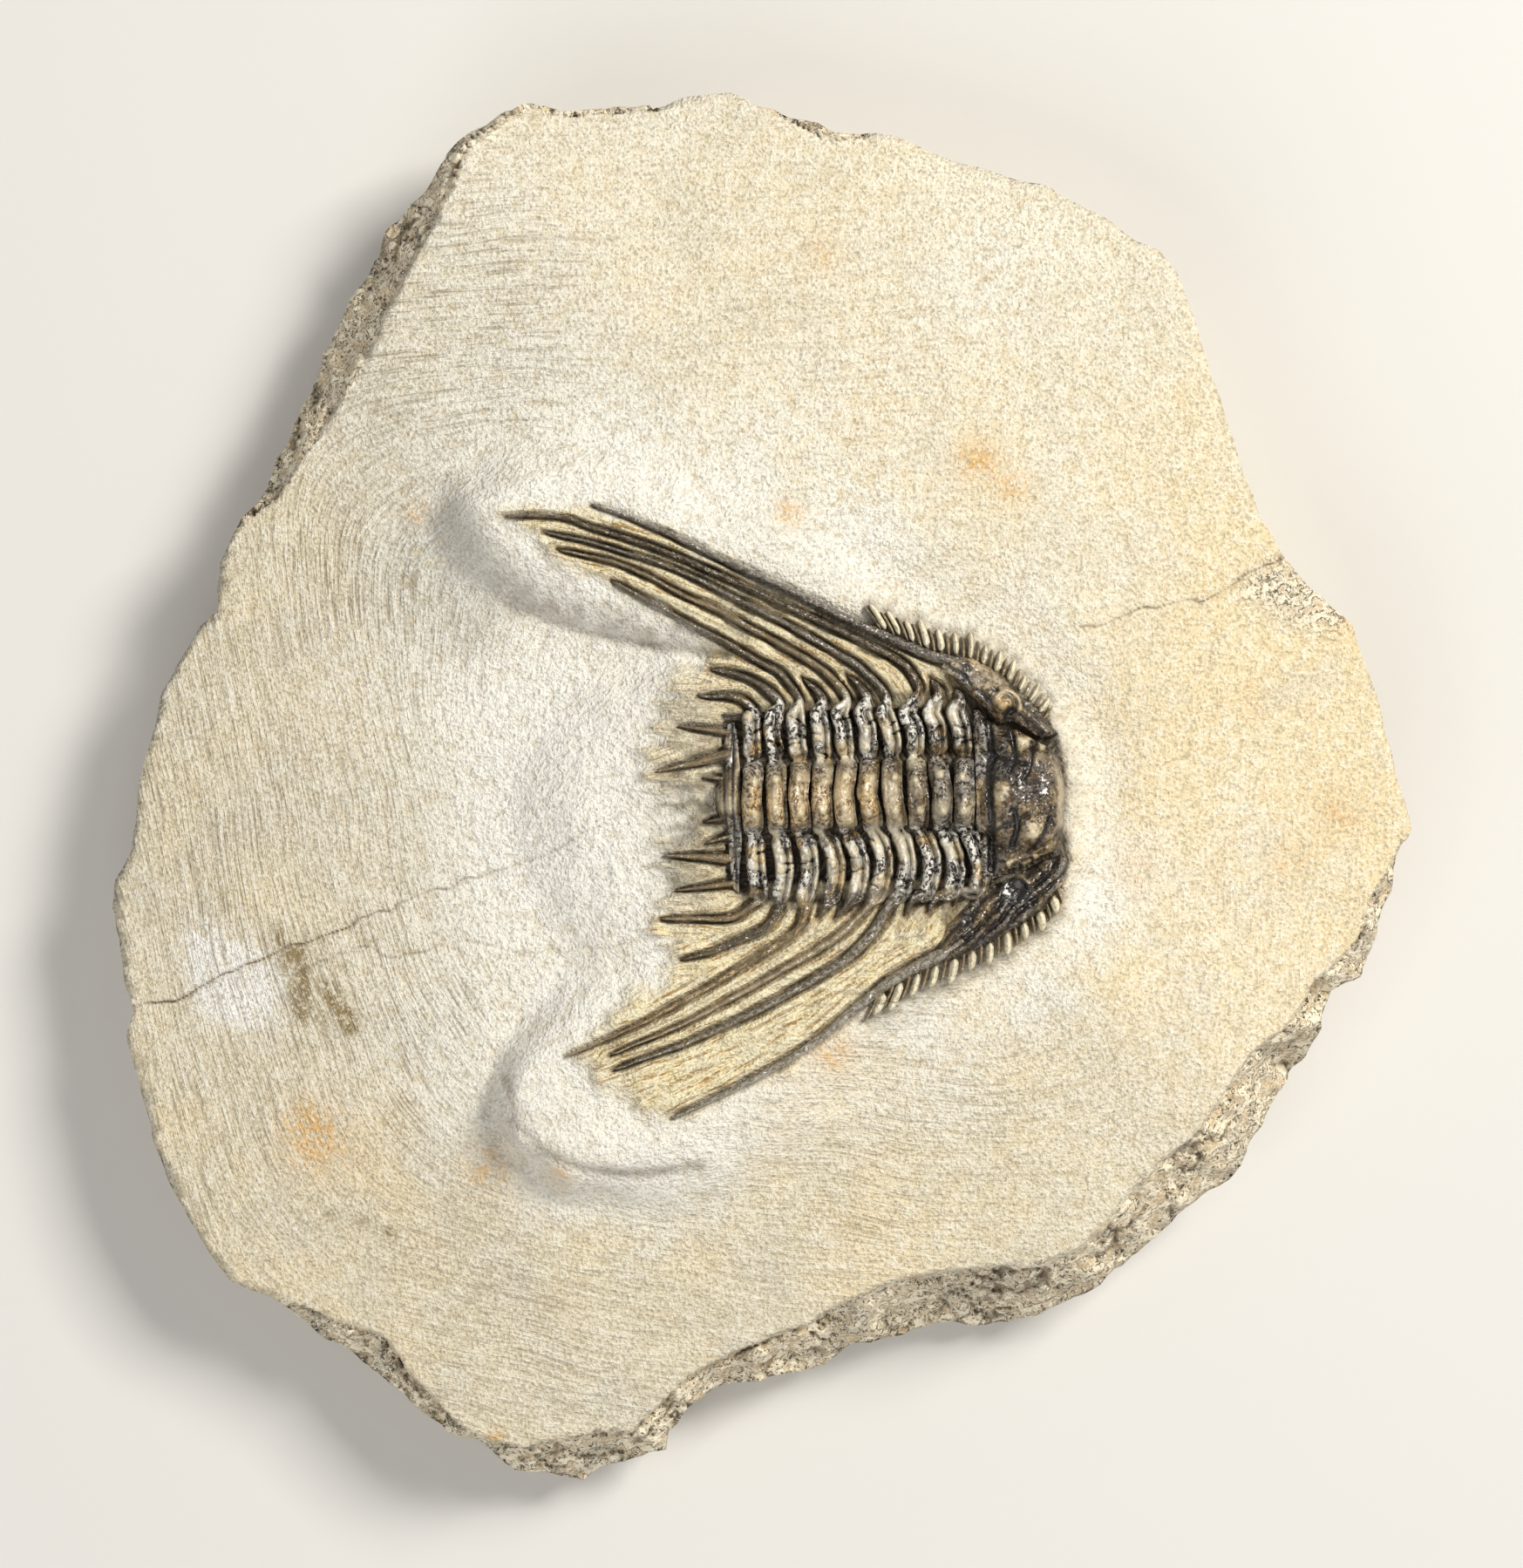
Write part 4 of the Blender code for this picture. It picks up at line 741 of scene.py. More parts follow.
def scratch_field(x, y, abraded):
    """The field whose level lines the scratches follow, and how clear the scratches are there."""
    total = sum(np.exp(-(a * x + b * y + c) / SCRATCH_BEND) for a, b, c in SCRATCH_WAYS)
    field = -SCRATCH_BEND * np.log(total) + 0.5 * rough(x, y, 6, 95)
    clear = (0.3 + 0.7 * smooth_step(28, 6, x)) * (1 - 0.85 * abraded)
    clear = clear * (1 - 0.65 * smooth_step(5, 25, y) * smooth_step(-25, -8, x))
    clear = clear * (1 - 0.35 * smooth_step(-20, -35, y))
    return field, clear * (0.75 + 0.4 * rough(x, y, 8, 96))


def stone_sides(x, y, z):
    """Rings of points down the block's rough sides, from its rim to the flat base."""
    levels = np.linspace(1, 0, SIDE_ROWS + 1)[1:]
    insets = np.interp(-levels, [-v for v, _ in SIDE_LEVELS], [w for _, w in SIDE_LEVELS])
    rings = []
    for level, inset in zip(levels, insets):
        down = z * level
        dent = 0.018 * abs(layered(x, y, 7, 71, 2, down)) + 0.012 * layered(x, y, 2.2, 74, 3, down)
        steps = 0.01 * np.round(rough(x, y, 9, 77, down * 3) * 2.5) / 2.5
        scale = 1 - inset - smooth_step(1, 0.9, level) * np.clip(dent + steps, -0.006, 0.05)
        rings.append(np.column_stack([x * scale, y * scale, down]))
    return rings


def stain_and_shade_mask(x, y):
    """Painted shade between and round the body's plates, over dark stone; painted shadows round the drops
    between the short spines; the dark stone behind the tail; and a painted shadow along the foot, with
    painted shade on the slope above it.
    """
    edge, _, inside = to_loop(x, y, BODY_EDGE)
    stain_and_shade = np.where(inside, 1, smooth_step(0.5, 0, edge)) * (0.8 + 0.3 * rough(x, y, 1.2, 97))
    # Painted shade round the edge of the body.
    edge_shade = 0.4 * smooth_step(2.3, 0.2, edge) * (0.6 + 0.6 * rough(x, y, 0.7, 98))
    # Painted shadows round the pale drops between the short spines.
    drop_shadows = furrows(x, y, [(points, 0.5 * apart, 0.6) for points, apart in drop_routes()])
    behind = oval(x, y, *BEHIND_TAIL) * (0.4 + 0.5 * rough(x * 0.35, y, 0.35, 99))
    # Painted shadow along the foot of each fan's bed, and painted shade on the slope above the upper one.
    foot = furrows(x, y, [(line, 0.42, 0.62) for line, _, _ in FOOT_LINES])
    foot = foot * (0.65 + 0.45 * smooth_step(-16, -6, x)) * (0.9 + 0.25 * rough(x, y, 2.6, 93))
    slope_shade = furrows(x, y - 1.1, [(FOOT_LINES[0][0], 1.3, 0.42)])
    slope_shade = slope_shade * np.clip(0.75 + 0.6 * layered(x, y, 0.9, 94, 2), 0.4, 1.1)
    for other in (edge_shade, drop_shadows, np.clip(behind, 0, 0.6), foot, slope_shade):
        stain_and_shade = np.maximum(stain_and_shade, other)
    return stain_and_shade


def stone_masks(x, y, marks, on_top, drop):
    """The masks that the stone's finish reads at each point, three to a vector."""
    def whole(name, rest=0):
        values = np.full(len(x), float(rest))
        values[on_top] = marks[name]
        return values

    # Painted shade round and between the plates, with the dark stone behind the tail.
    body_shade_and_stain = np.maximum(under_body(x, y), stain_and_shade_mask(x, y)) * on_top
    facets = np.array([h + sx * (x - ax) + sy * (y - ay) for h, ax, ay, sx, sy, _ in GROUND_FACETS.values()])
    weights = np.exp(-(facets - facets.min(0)) / TONE_CREASE)
    weights = weights / weights.sum(0)
    soft = layered(x, y, 6, 91, 3) * 0.35 + 1
    tones = [(sum(w * facet[5][k] for w, facet in zip(weights, GROUND_FACETS.values()))
              + 0.2 * layered(x, y, 9, 101 + k, 3) + spot(x, y, spots)) * soft
             for k, spots in enumerate((PALE_SPOTS, WARM_SPOTS, GREY_SPOTS))]
    masks = {
        "tone": tones,
        "stains": (spot(x, y, RUST_SPOTS), furrows(x, y, OLIVE_STREAKS) * on_top,
                   spot(x, y, FILLER_SPOTS) * on_top),
        # Painted shade and dark stone; painted highlight on the ridge crests, with the pale drops; the
        # cracks, with painted shade from the crevices.
        "cuts": (np.maximum(whole("shaded_groove"), body_shade_and_stain), np.maximum(whole("ridge") * 1.8, drop * 2),
                 whole("crack") * 8),
        "form": (np.where(drop, 0, whole("broken", 1)) + spot(x, y, UNPREPARED_SPOTS), whole("fan"),
                 whole("abraded")),
        "strand": (whole("away", 0.5), whole("out"), whole("share", 1)),
        "combs": (*scratch_field(x, y, whole("abraded")), on_top),
    }
    return {name: np.column_stack(columns) for name, columns in masks.items()}


def build_stone():
    outline = block_outline()
    count = len(outline)
    places, faces = fill([p[:2] for p in outline], *stone_points(outline))
    x, y = places.T
    top, marks = stone_top(x, y)
    rings = stone_sides(x[:count], y[:count], top[:count])
    verts = [np.column_stack([x, y, top])] + rings
    all_faces = faces.tolist()
    above, start = np.arange(count), len(x)
    for _ in rings:
        below = start + np.arange(count)
        all_faces += np.column_stack([above, np.roll(above, -1), np.roll(below, -1), below]).tolist()
        above, start = below, start + count
    base = rings[-1][:, :2].tolist()
    under_x, under_y = grid((-48, -52), (48, 52), UNDERSIDE_STEP, 66)
    edge, _, within = to_loop(under_x, under_y, [(*p, 0) for p in base])
    inside = within & (edge > 1)
    under_x, under_y = under_x[inside], under_y[inside]
    floor_places, floor_faces = fill(base, under_x, under_y)
    hollow = UNDERSIDE_HOLLOW * np.clip(layered(under_x, under_y, 8, 81, 3) + 0.2, 0, 1)
    verts.append(np.column_stack([floor_places[count:], hollow]))
    numbers = np.concatenate([above, start + np.arange(len(under_x))])
    all_faces += numbers[floor_faces][:, ::-1].tolist()
    block_count = total = start + len(under_x)
    for drop_verts, drop_faces in stone_drops():
        verts.append(drop_verts)
        all_faces += [[total + i for i in face] for face in drop_faces]
        total += len(drop_verts)
    verts = np.concatenate(verts)
    number = np.arange(total)
    masks = stone_masks(verts[:, 0], verts[:, 1], marks, number < len(x), number >= block_count)
    return verts, all_faces, masks


def feed(tree, socket, source):
    """Links a source to a socket, or sets the socket's own value."""
    if isinstance(source, bpy.types.NodeSocket):
        tree.links.new(source, socket)
    elif socket.type == "RGBA":
        socket.default_value = (*source, 1)
    else:
        socket.default_value = source


def node(tree, kind, links=(), **values):
    """Adds a shader node, sets its values and feeds its inputs."""
    made = tree.nodes.new(kind)
    for name, value in values.items():
        setattr(made, name, value)
    for socket, source in links:
        feed(tree, made.inputs[socket], source)
    return made


def group(name, inputs, outputs):
    """A new shader node group with named sockets."""
    tree = bpy.data.node_groups.new(name, "ShaderNodeTree")
    for sockets, way in ((inputs, "INPUT"), (outputs, "OUTPUT")):
        for label, kind in sockets:
            tree.interface.new_socket(label, in_out=way, socket_type=kind)
    return tree, tree.nodes.new("NodeGroupInput"), tree.nodes.new("NodeGroupOutput")


def maths(tree, operation, a, b=0, clamp=False):
    return node(tree, "ShaderNodeMath", [(0, a), (1, b)], operation=operation, use_clamp=clamp).outputs[0]


def remap(tree, value, low, high, to_low=0, to_high=1):
    limits = zip(("Value", "From Min", "From Max", "To Min", "To Max"), (value, low, high, to_low, to_high))
    return node(tree, "ShaderNodeMapRange", limits).outputs["Result"]


def blend(tree, share, under, over):
    return node(tree, "ShaderNodeMix", ((0, share), (6, under), (7, over)), data_type="RGBA").outputs[2]


def noise(tree, vector, scale, detail, roughness):
    inputs = zip(("Vector", "Scale", "Detail", "Roughness"), (vector, scale, detail, roughness))
    return node(tree, "ShaderNodeTexNoise", inputs).outputs["Fac"]


def lumps(tree, vector, size_mm, detail=2, roughness=0.5):
    """A noise value from 0 to 1 with lumps of a size in millimetres."""
    return noise(tree, vector, 1 / (size_mm * MM), detail, roughness)


def masks_of(tree, name):
    made = node(tree, "ShaderNodeAttribute", attribute_name=name)
    return node(tree, "ShaderNodeSeparateXYZ", [("Vector", made.outputs["Vector"])]).outputs


def times(tree, *values):
    """The product of masks and shares, kept from 0 to 1. A share of 1 and a missing mask are left out."""
    kept = [value for value in values if value is not None and value != 1]
    total = kept[0]
    for value in kept[1:]:
        total = maths(tree, "MULTIPLY", total, value, clamp=True)
    return total


def washed(tree, colour, washes):
    """Lays tints over a colour, each by its mask, the noise that breaks it up and its share."""
    for mask, broken, share, tint in washes:
        colour = blend(tree, times(tree, mask, broken, share), colour, tint)
    return colour


def new_material(name):
    material = bpy.data.materials.new(name)
    material.use_nodes = True
    tree = material.node_tree
    return material, tree, tree.nodes["Principled BSDF"], node(tree, "ShaderNodeTexCoord").outputs["Object"]


def finish_material(tree, shader, height, strength, depth, values):
    """Gives a shader its relief, as a height and its depth in metres, and its plain values."""
    relief = node(tree, "ShaderNodeBump", [("Height", height), ("Strength", strength), ("Distance", depth)])
    for socket, value in [("Normal", relief.outputs["Normal"]), *values.items()]:
        feed(tree, shader.inputs[socket], value)


def make_limestone():
    """Cream limestone: tan and pale clouds, fine specks, stains, scratches and grey broken faces, with
    painted shade in its grooves, crevices and round the animal, and painted highlight on the ridges between
    the spines.
    """
    material, tree, shader, place = new_material("limestone")
    tone, stains, cuts, form, strand, combs = (
        masks_of(tree, name) for name in ("tone", "stains", "cuts", "form", "strand", "combs"))
    clouds = lumps(tree, place, 5, 2, 0.6)
    mottle = lumps(tree, place, 0.95, 3, 0.62)
    grain = lumps(tree, place, 0.27, 2, 0.6)
    crackle = lumps(tree, place, 0.62, 2, 0.55)
    # The ground: clouds, then warm, pale, abraded and grey areas, mottling, rust, olive streaks and filler. A
    # few of the pale and grey spots are painted light and painted shade on the fans' flanks and noses.
    colour = washed(tree, (0.74, 0.665, 0.49), [
        (None, remap(tree, clouds, 0.35, 0.65), 1, (0.83, 0.765, 0.60)),
        (tone["Y"], remap(tree, clouds, 0.34, 0.6, 0.2, 1.25), 0.85, (0.87, 0.705, 0.415)),
        (tone["X"], remap(tree, mottle, 0.3, 0.55, 0.5, 1.1), 1, (0.92, 0.895, 0.80)),
        (form["Z"], remap(tree, mottle, 0.34, 0.54, 0.4, 1), 0.85, (0.96, 0.945, 0.885)),
        (form["Z"], remap(tree, mottle, 0.46, 0.34), 0.4, (0.70, 0.69, 0.65)),
        (tone["Z"], remap(tree, mottle, 0.36, 0.56, 1, 0.6), 1, (0.57, 0.555, 0.49)),
        (None, remap(tree, mottle, 0.50, 0.70, 0, 0.6), 1, (0.90, 0.86, 0.73)),
        (None, remap(tree, mottle, 0.48, 0.30, 0, 0.6), 1, (0.70, 0.585, 0.38)),
        (stains["X"], remap(tree, mottle, 0.42, 0.53, 0.1, 1), 1.25, (0.78, 0.49, 0.19)),
        (stains["Y"], remap(tree, mottle, 0.36, 0.46), 1.4, (0.27, 0.19, 0.07)),
        (stains["Z"], remap(tree, mottle, 0.40, 0.50, 0.25, 1.3), 1, (0.95, 0.93, 0.88)),
    ])
    # The broken sides: tan rock, made paler as painted light against their shading
    rocky = washed(tree, (0.66, 0.51, 0.32), [
        (None, remap(tree, mottle, 0.34, 0.58), 1, (1, 0.90, 0.69)),
        (None, remap(tree, clouds, 0.52, 0.64, 0, 0.5), 1, (0.56, 0.51, 0.41)),
    ])
    colour = blend(tree, form["X"], colour, rocky)
    # The strands of the fans, the dark gaps between them, and painted shade beside the spines
    along = [(axis, maths(tree, "MULTIPLY", strand[axis], stretch))
             for axis, stretch in (("X", 3.2), ("Y", 0.3))]
    threads = noise(tree, node(tree, "ShaderNodeCombineXYZ", along).outputs[0], 1, 3, 0.7)
    strands_and_shade = washed(tree, (0.38, 0.22, 0.06), [
        (None, remap(tree, threads, 0.40, 0.47), 1, (0.91, 0.73, 0.38)),
        (None, remap(tree, threads, 0.47, 0.55), 1, (0.99, 0.90, 0.60)),
        # Painted shade: brown beside the spines.
        (None, remap(tree, strand["X"], 0.30, 0.08, 0, 0.75), 1, (0.34, 0.22, 0.09)),
    ])
    fan = form["Y"]
    in_fan = times(tree, fan, remap(tree, mottle, 0.34, 0.54, 0.6, 1), remap(tree, tone["Z"], 0.2, 1, 1, 0.3))
    # Painted highlight on the crests of the pale ridges beside the spines, fine cracks, dark and pale grains,
    # and painted shade in the crevices of the broken sides
    ring = maths(tree, "ABSOLUTE", maths(tree, "SUBTRACT", crackle, 0.5))
    lines = times(tree, remap(tree, ring, 0.035, 0), remap(tree, grain, 0.58, 0.44))
    seam = maths(tree, "ABSOLUTE", maths(tree, "SUBTRACT", mottle, 0.5))
    shaded_crevice = times(tree, form["X"], remap(tree, seam, 0.022, 0), remap(tree, grain, 0.60, 0.46), 0.9)
    colour = washed(tree, colour, [
        (in_fan, None, 1, strands_and_shade),
        # Painted highlight on the crests of the ridges, and the pale drops.
        (cuts["Y"], remap(tree, threads, 0.44, 0.56), 0.6, (0.96, 0.87, 0.60)),
        (lines, None, 0.55, (0.42, 0.36, 0.26)),
        (None, remap(tree, grain, 0.45, 0.36, 0, 0.52), 1, (0.42, 0.355, 0.25)),
        (None, remap(tree, grain, 0.54, 0.62, 0, 0.45), 1, (0.97, 0.93, 0.81)),
        # Painted shade in the crevices of the broken sides.
        (shaded_crevice, None, 1, (0.07, 0.06, 0.045)),
    ])
    # The file's scratches, combed along the lines of a field that the mesh carries
    flow = node(tree, "ShaderNodeVectorMath", [(0, place), (1, (230, 230, 0))], operation="MULTIPLY")
    rise = node(tree, "ShaderNodeCombineXYZ", [("Z", maths(tree, "MULTIPLY", combs["X"], 4))])
    flow = node(tree, "ShaderNodeVectorMath", [(0, flow.outputs[0]), (1, rise.outputs[0])], operation="ADD")
    comb = noise(tree, flow.outputs[0], 1, 2, 0.62)
    combed = times(tree, maths(tree, "SUBTRACT", 1, form["X"]), combs["Y"])
    colour = washed(tree, colour, [
        (remap(tree, comb, 0.46, 0.34), combed, 0.75, (0.40, 0.335, 0.235)),
        (remap(tree, comb, 0.56, 0.67), combed, 0.6, (0.95, 0.92, 0.82)),
        (form["Z"], maths(tree, "SUBTRACT", 1, fan), 0.3, (0.97, 0.955, 0.90)),
    ])
    # Painted shade in the grooves, between and round the plates and along the fans' feet, the dark stone
    # behind the tail, and the cracks
    dark_shade_and_stain = times(tree, cuts["X"], remap(tree, threads, 0.3, 0.55, 0.8, 1))
    # The colour of the painted shade and dark stone, darkest where the mask is strongest.
    gap = blend(tree, dark_shade_and_stain, (0.20, 0.145, 0.07), (0.035, 0.024, 0.014))
    colour = washed(tree, colour, [(dark_shade_and_stain, None, 1, gap), (cuts["Z"], None, 0.75, (0.21, 0.155, 0.095))])
    height = maths(tree, "MULTIPLY_ADD", grain, 0.8)
    pitted = maths(tree, "MULTIPLY", mottle, remap(tree, form["Z"], 0, 1, 0.7, 1.6))
    tree.links.new(pitted, height.node.inputs[2])
    for share, deep in ((comb, combed), (times(tree, threads, fan), 1.2), (shaded_crevice, -1.6)):
        height = maths(tree, "ADD", height, maths(tree, "MULTIPLY", share, deep))
    finish_material(tree, shader, height, 1, 0.00032,
                    {"Base Color": colour, "Roughness": 0.82, "Specular IOR Level": 0.25})
    return material


LIMESTONE = make_limestone()
make_piece("limestone_block", *build_stone(), LIMESTONE, "limestone", ["matrix"])

# The ten thorax segments. Each is one piece of dark, glossy shell: a high ring over the axis with a
# furrow at its front and a pair of tubercles, a furrowed pleura on each side, and a spine at each end.
SEGMENTS = 10
THORAX_FRONT = 19.4
PITCH = 1.726
SEGMENT_WIDTH = 1.65
SEGMENT_STEP = 0.11
SUNK = 0.35
# How far a segment's left side leans back, and its right side bulges forward, from head to tail.
LEFT_LEAN = (0.5, 0.5, 0.6, 0.5, 0.4, 0.3, 0.2, 0.1, 0.1, 0)
RIGHT_BULGE = (1.1, 1, 0.9, 0.8, 0.75, 0.7, 0.6, 0.5, 0.4, 0.2)
AXIS_PROFILE = [(0, 3.35), (0.8, 3.3), (1.5, 3.05), (2.05, 2.5), (2.45, 1.6), (2.7, 1), (2.95, 0.95),
                (3.35, 1.5), (4, 1.75), (5, 1.7)]
LEFT_FULCRUM = [(6, 1.5)]
RIGHT_FULCRUM = [(6, 1.55), (7.4, 1.3)]
RING_SHAPE = np.interp(ACROSS, (-1, -0.9, -0.7, -0.3, 0.1, 0.45, 0.68, 0.8, 0.9, 1),
                       (0.2, 0.6, 0.86, 1, 0.98, 0.86, 0.55, 0.5, 0.55, 0.2))
PLEURA_SHAPE = np.interp(ACROSS, (-1, -0.9, -0.7, -0.35, -0.05, 0.16, 0.26, 0.36, 0.55, 0.75, 0.9, 1),
                         (0, 0.4, 0.9, 1, 0.92, 0.6, 0.45, 0.62, 0.8, 0.68, 0.3, 0))
TUBERCLE = (1.2, 0.31, 0.28)
RING_AMBER = (0.1, 0.12, 0.25, 0.5, 0.85, 1, 0.9, 0.85, 0.8, 0.7)
# Amber, grey and cream shares of the spines, by segment, on the left and on the right.
LEFT_HUES = {3: (0.15, 0.05, 0), 4: (0, 0.2, 0.1), 6: (0.3, 0, 0.15), 8: (0.1, 0.05, 0.1)}
RIGHT_HUES = {4: (0, 0.3, 0.1), 5: (0.35, 0.1, 0.4), 8: (0.6, 0, 0.05), 10: (0.4, 0, 0.1)}
PLAIN_HUE = (0.05, 0.04, 0.04)


def on_body(along, across):
    x = TAIL[0] + along * math.cos(BODY_TURN) - across * math.sin(BODY_TURN)
    y = TAIL[1] + along * math.sin(BODY_TURN) + across * math.cos(BODY_TURN)
    return x, y


def make_shell(name):
    """Dark glossy shell: brown, amber, grey and cream patches, pale grains, stone left in its pits, painted
    glints and highlights on its high parts and painted shade in its low ones.
    """
    material, tree, shader, place = new_material(name)
    made = node(tree, "ShaderNodeGroup", [("Vector", place)], node_tree=SHELL).outputs
    finish_material(tree, shader, made["Height"], 0.8, 0.00012, {
        "Base Color": made["Base Color"], "Roughness": made["Roughness"],
        "Specular IOR Level": 0.5, "Coat Weight": 0.8, "Coat Roughness": 0.1})
    return material


def make_shell_surface():
    """The shell's colour, roughness and fine relief, shared by all the plates."""
    tree, inward, outward = group("shell_surface", [("Vector", "NodeSocketVector")],
                                  [("Base Color", "NodeSocketColor"), ("Roughness", "NodeSocketFloat"),
                                   ("Height", "NodeSocketFloat")])
    place = inward.outputs["Vector"]
    # The second mask's X is a height share that sets painted glints, highlights and shade; Y marks pale
    # tubercles and Z the stone left in pits.
    hue, light_shade_and_wear = masks_of(tree, "hue"), masks_of(tree, "light_shade_and_wear")
    broad = lumps(tree, place, 1.2, 2, 0.6)
    fine = lumps(tree, place, 0.36, 3, 0.6)
    specks = lumps(tree, place, 0.2, 1, 0.5)
    amber = blend(tree, remap(tree, fine, 0.40, 0.56), (0.16, 0.085, 0.028), (0.70, 0.51, 0.25))
    # Painted glints: white flecks on the high parts.
    glint_flecks = times(tree, remap(tree, specks, 0.62, 0.66), remap(tree, broad, 0.46, 0.58, 0.1, 1),
                   remap(tree, light_shade_and_wear["X"], 0.5, 0.8))
    # Painted highlight: pale streaks along the highest crests.
    crest_highlight = times(tree, remap(tree, light_shade_and_wear["X"], 0.82, 0.93), remap(tree, fine, 0.48, 0.53),
                 remap(tree, broad, 0.38, 0.48))
    filled = times(tree, light_shade_and_wear["Z"], remap(tree, fine, 0.36, 0.55, 0.2, 1.2))
    colour = washed(tree, (0.012, 0.009, 0.007), [
        (None, remap(tree, fine, 0.46, 0.62), 1, (0.085, 0.052, 0.028)),
        (hue["X"], remap(tree, broad, 0.36, 0.58, 0.5, 1.2), 1, amber),
        (hue["Y"], remap(tree, fine, 0.46, 0.54, 0, 1.5), 1, (0.60, 0.57, 0.51)),
        (hue["Z"], remap(tree, fine, 0.55, 0.47, 0, 1.5), 1, (0.70, 0.60, 0.41)),
        (glint_flecks, None, 1, (0.86, 0.84, 0.78)),
        (crest_highlight, remap(tree, hue["X"], 0.55, 0.25, 0.15, 0.9), 1, (0.83, 0.80, 0.73)),
        (light_shade_and_wear["Y"], None, 0.95, (0.76, 0.66, 0.45)),
        (filled, None, 1, (0.66, 0.56, 0.37)),
        # Painted shade: the low parts darkened nearly to black, except where stone fills them.
        (maths(tree, "SUBTRACT", 1, filled), remap(tree, light_shade_and_wear["X"], 0.60, 0.33, 0, 0.95), 1,
         (0.009, 0.007, 0.006)),
    ])
    sheen = remap(tree, fine, 0.35, 0.65, 0.14, 0.36)
    sheen = maths(tree, "ADD", sheen, maths(tree, "MULTIPLY", filled, 0.5), clamp=True)
    height = maths(tree, "ADD", maths(tree, "MULTIPLY", fine, 1.6), maths(tree, "MULTIPLY", specks, 0.5))
    for socket, source in (("Base Color", colour), ("Roughness", sheen), ("Height", height)):
        tree.links.new(source, outward.inputs[socket])
    return tree


SHELL = make_shell_surface()


def lay_out(name, parts, slot, nodes):
    """One piece of shell from several closed bodies, each given as its points, faces and masks."""
    faces, start = [], 0
    for points, some_faces, _, _ in parts:
        faces += [[start + i for i in face] for face in some_faces]
        start += len(points)
    verts, _, hue, light_shade_and_wear = zip(*parts)
    masks = {"hue": np.concatenate(hue), "light_shade_and_wear": np.concatenate(light_shade_and_wear)}
    make_piece(name, np.concatenate(verts), faces, masks, make_shell(slot), slot, nodes)


def segment_route(number, along):
    """A segment from tip to tip: x, y, its foot, its top, its width, and shares of ring and pleura."""
    rows = []
    stations = (AXIS_PROFILE + LEFT_FULCRUM)[::-1] + [(-a, t) for a, t in (AXIS_PROFILE + RIGHT_FULCRUM)[1:]]
    places = np.array(stations)[:, 0]
    sways = 0.24 * rough(places, number * 1.1, 2.4, 150) + 0.08 * rough(places, number * 2, 1.3, 151)
    lifts = 0.22 * rough(places, number * 2, 1.9, 152)
    for (across, top), sway, lift in zip(stations, sways, lifts):
        lean = LEFT_LEAN[number - 1] * max(0, (across - 2.8) / 3.6) ** 1.5 - sway
        top = top + lift
        swell = math.sin(math.pi * min(1, max(0, (-across - 2.5) / 6)))
        x, y = on_body(along - lean + RIGHT_BULGE[number - 1] * swell, across)
        ring = 1 if abs(across) < 2.6 else 0
        pinch = SEGMENT_WIDTH - 0.45 * math.exp(-((abs(across) - 2.75) / 0.3) ** 2)
        low = max(base_at(x, y)[0], BED_HEIGHT) - (0.1 if ring else 0.3)
        rows.append((x, y, low, BED_HEIGHT + top, pinch, ring, 1))
    spines = []
    for points, root, tip in (LEFT_SPINES[number - 1], RIGHT_SPINES[number - 1]):
        share = np.linspace(0, 1, len(points))
        width = root + (tip - root) * share
        x, y = np.array(points).T
        base = base_at(x, y)
        spines.append(list(zip(x, y, base - SUNK, base + 0.5 + 0.72 * width, width, share * 0, share * 0)))
    return smooth_route(spines[0][::-1] + rows + spines[1], SEGMENT_STEP).T


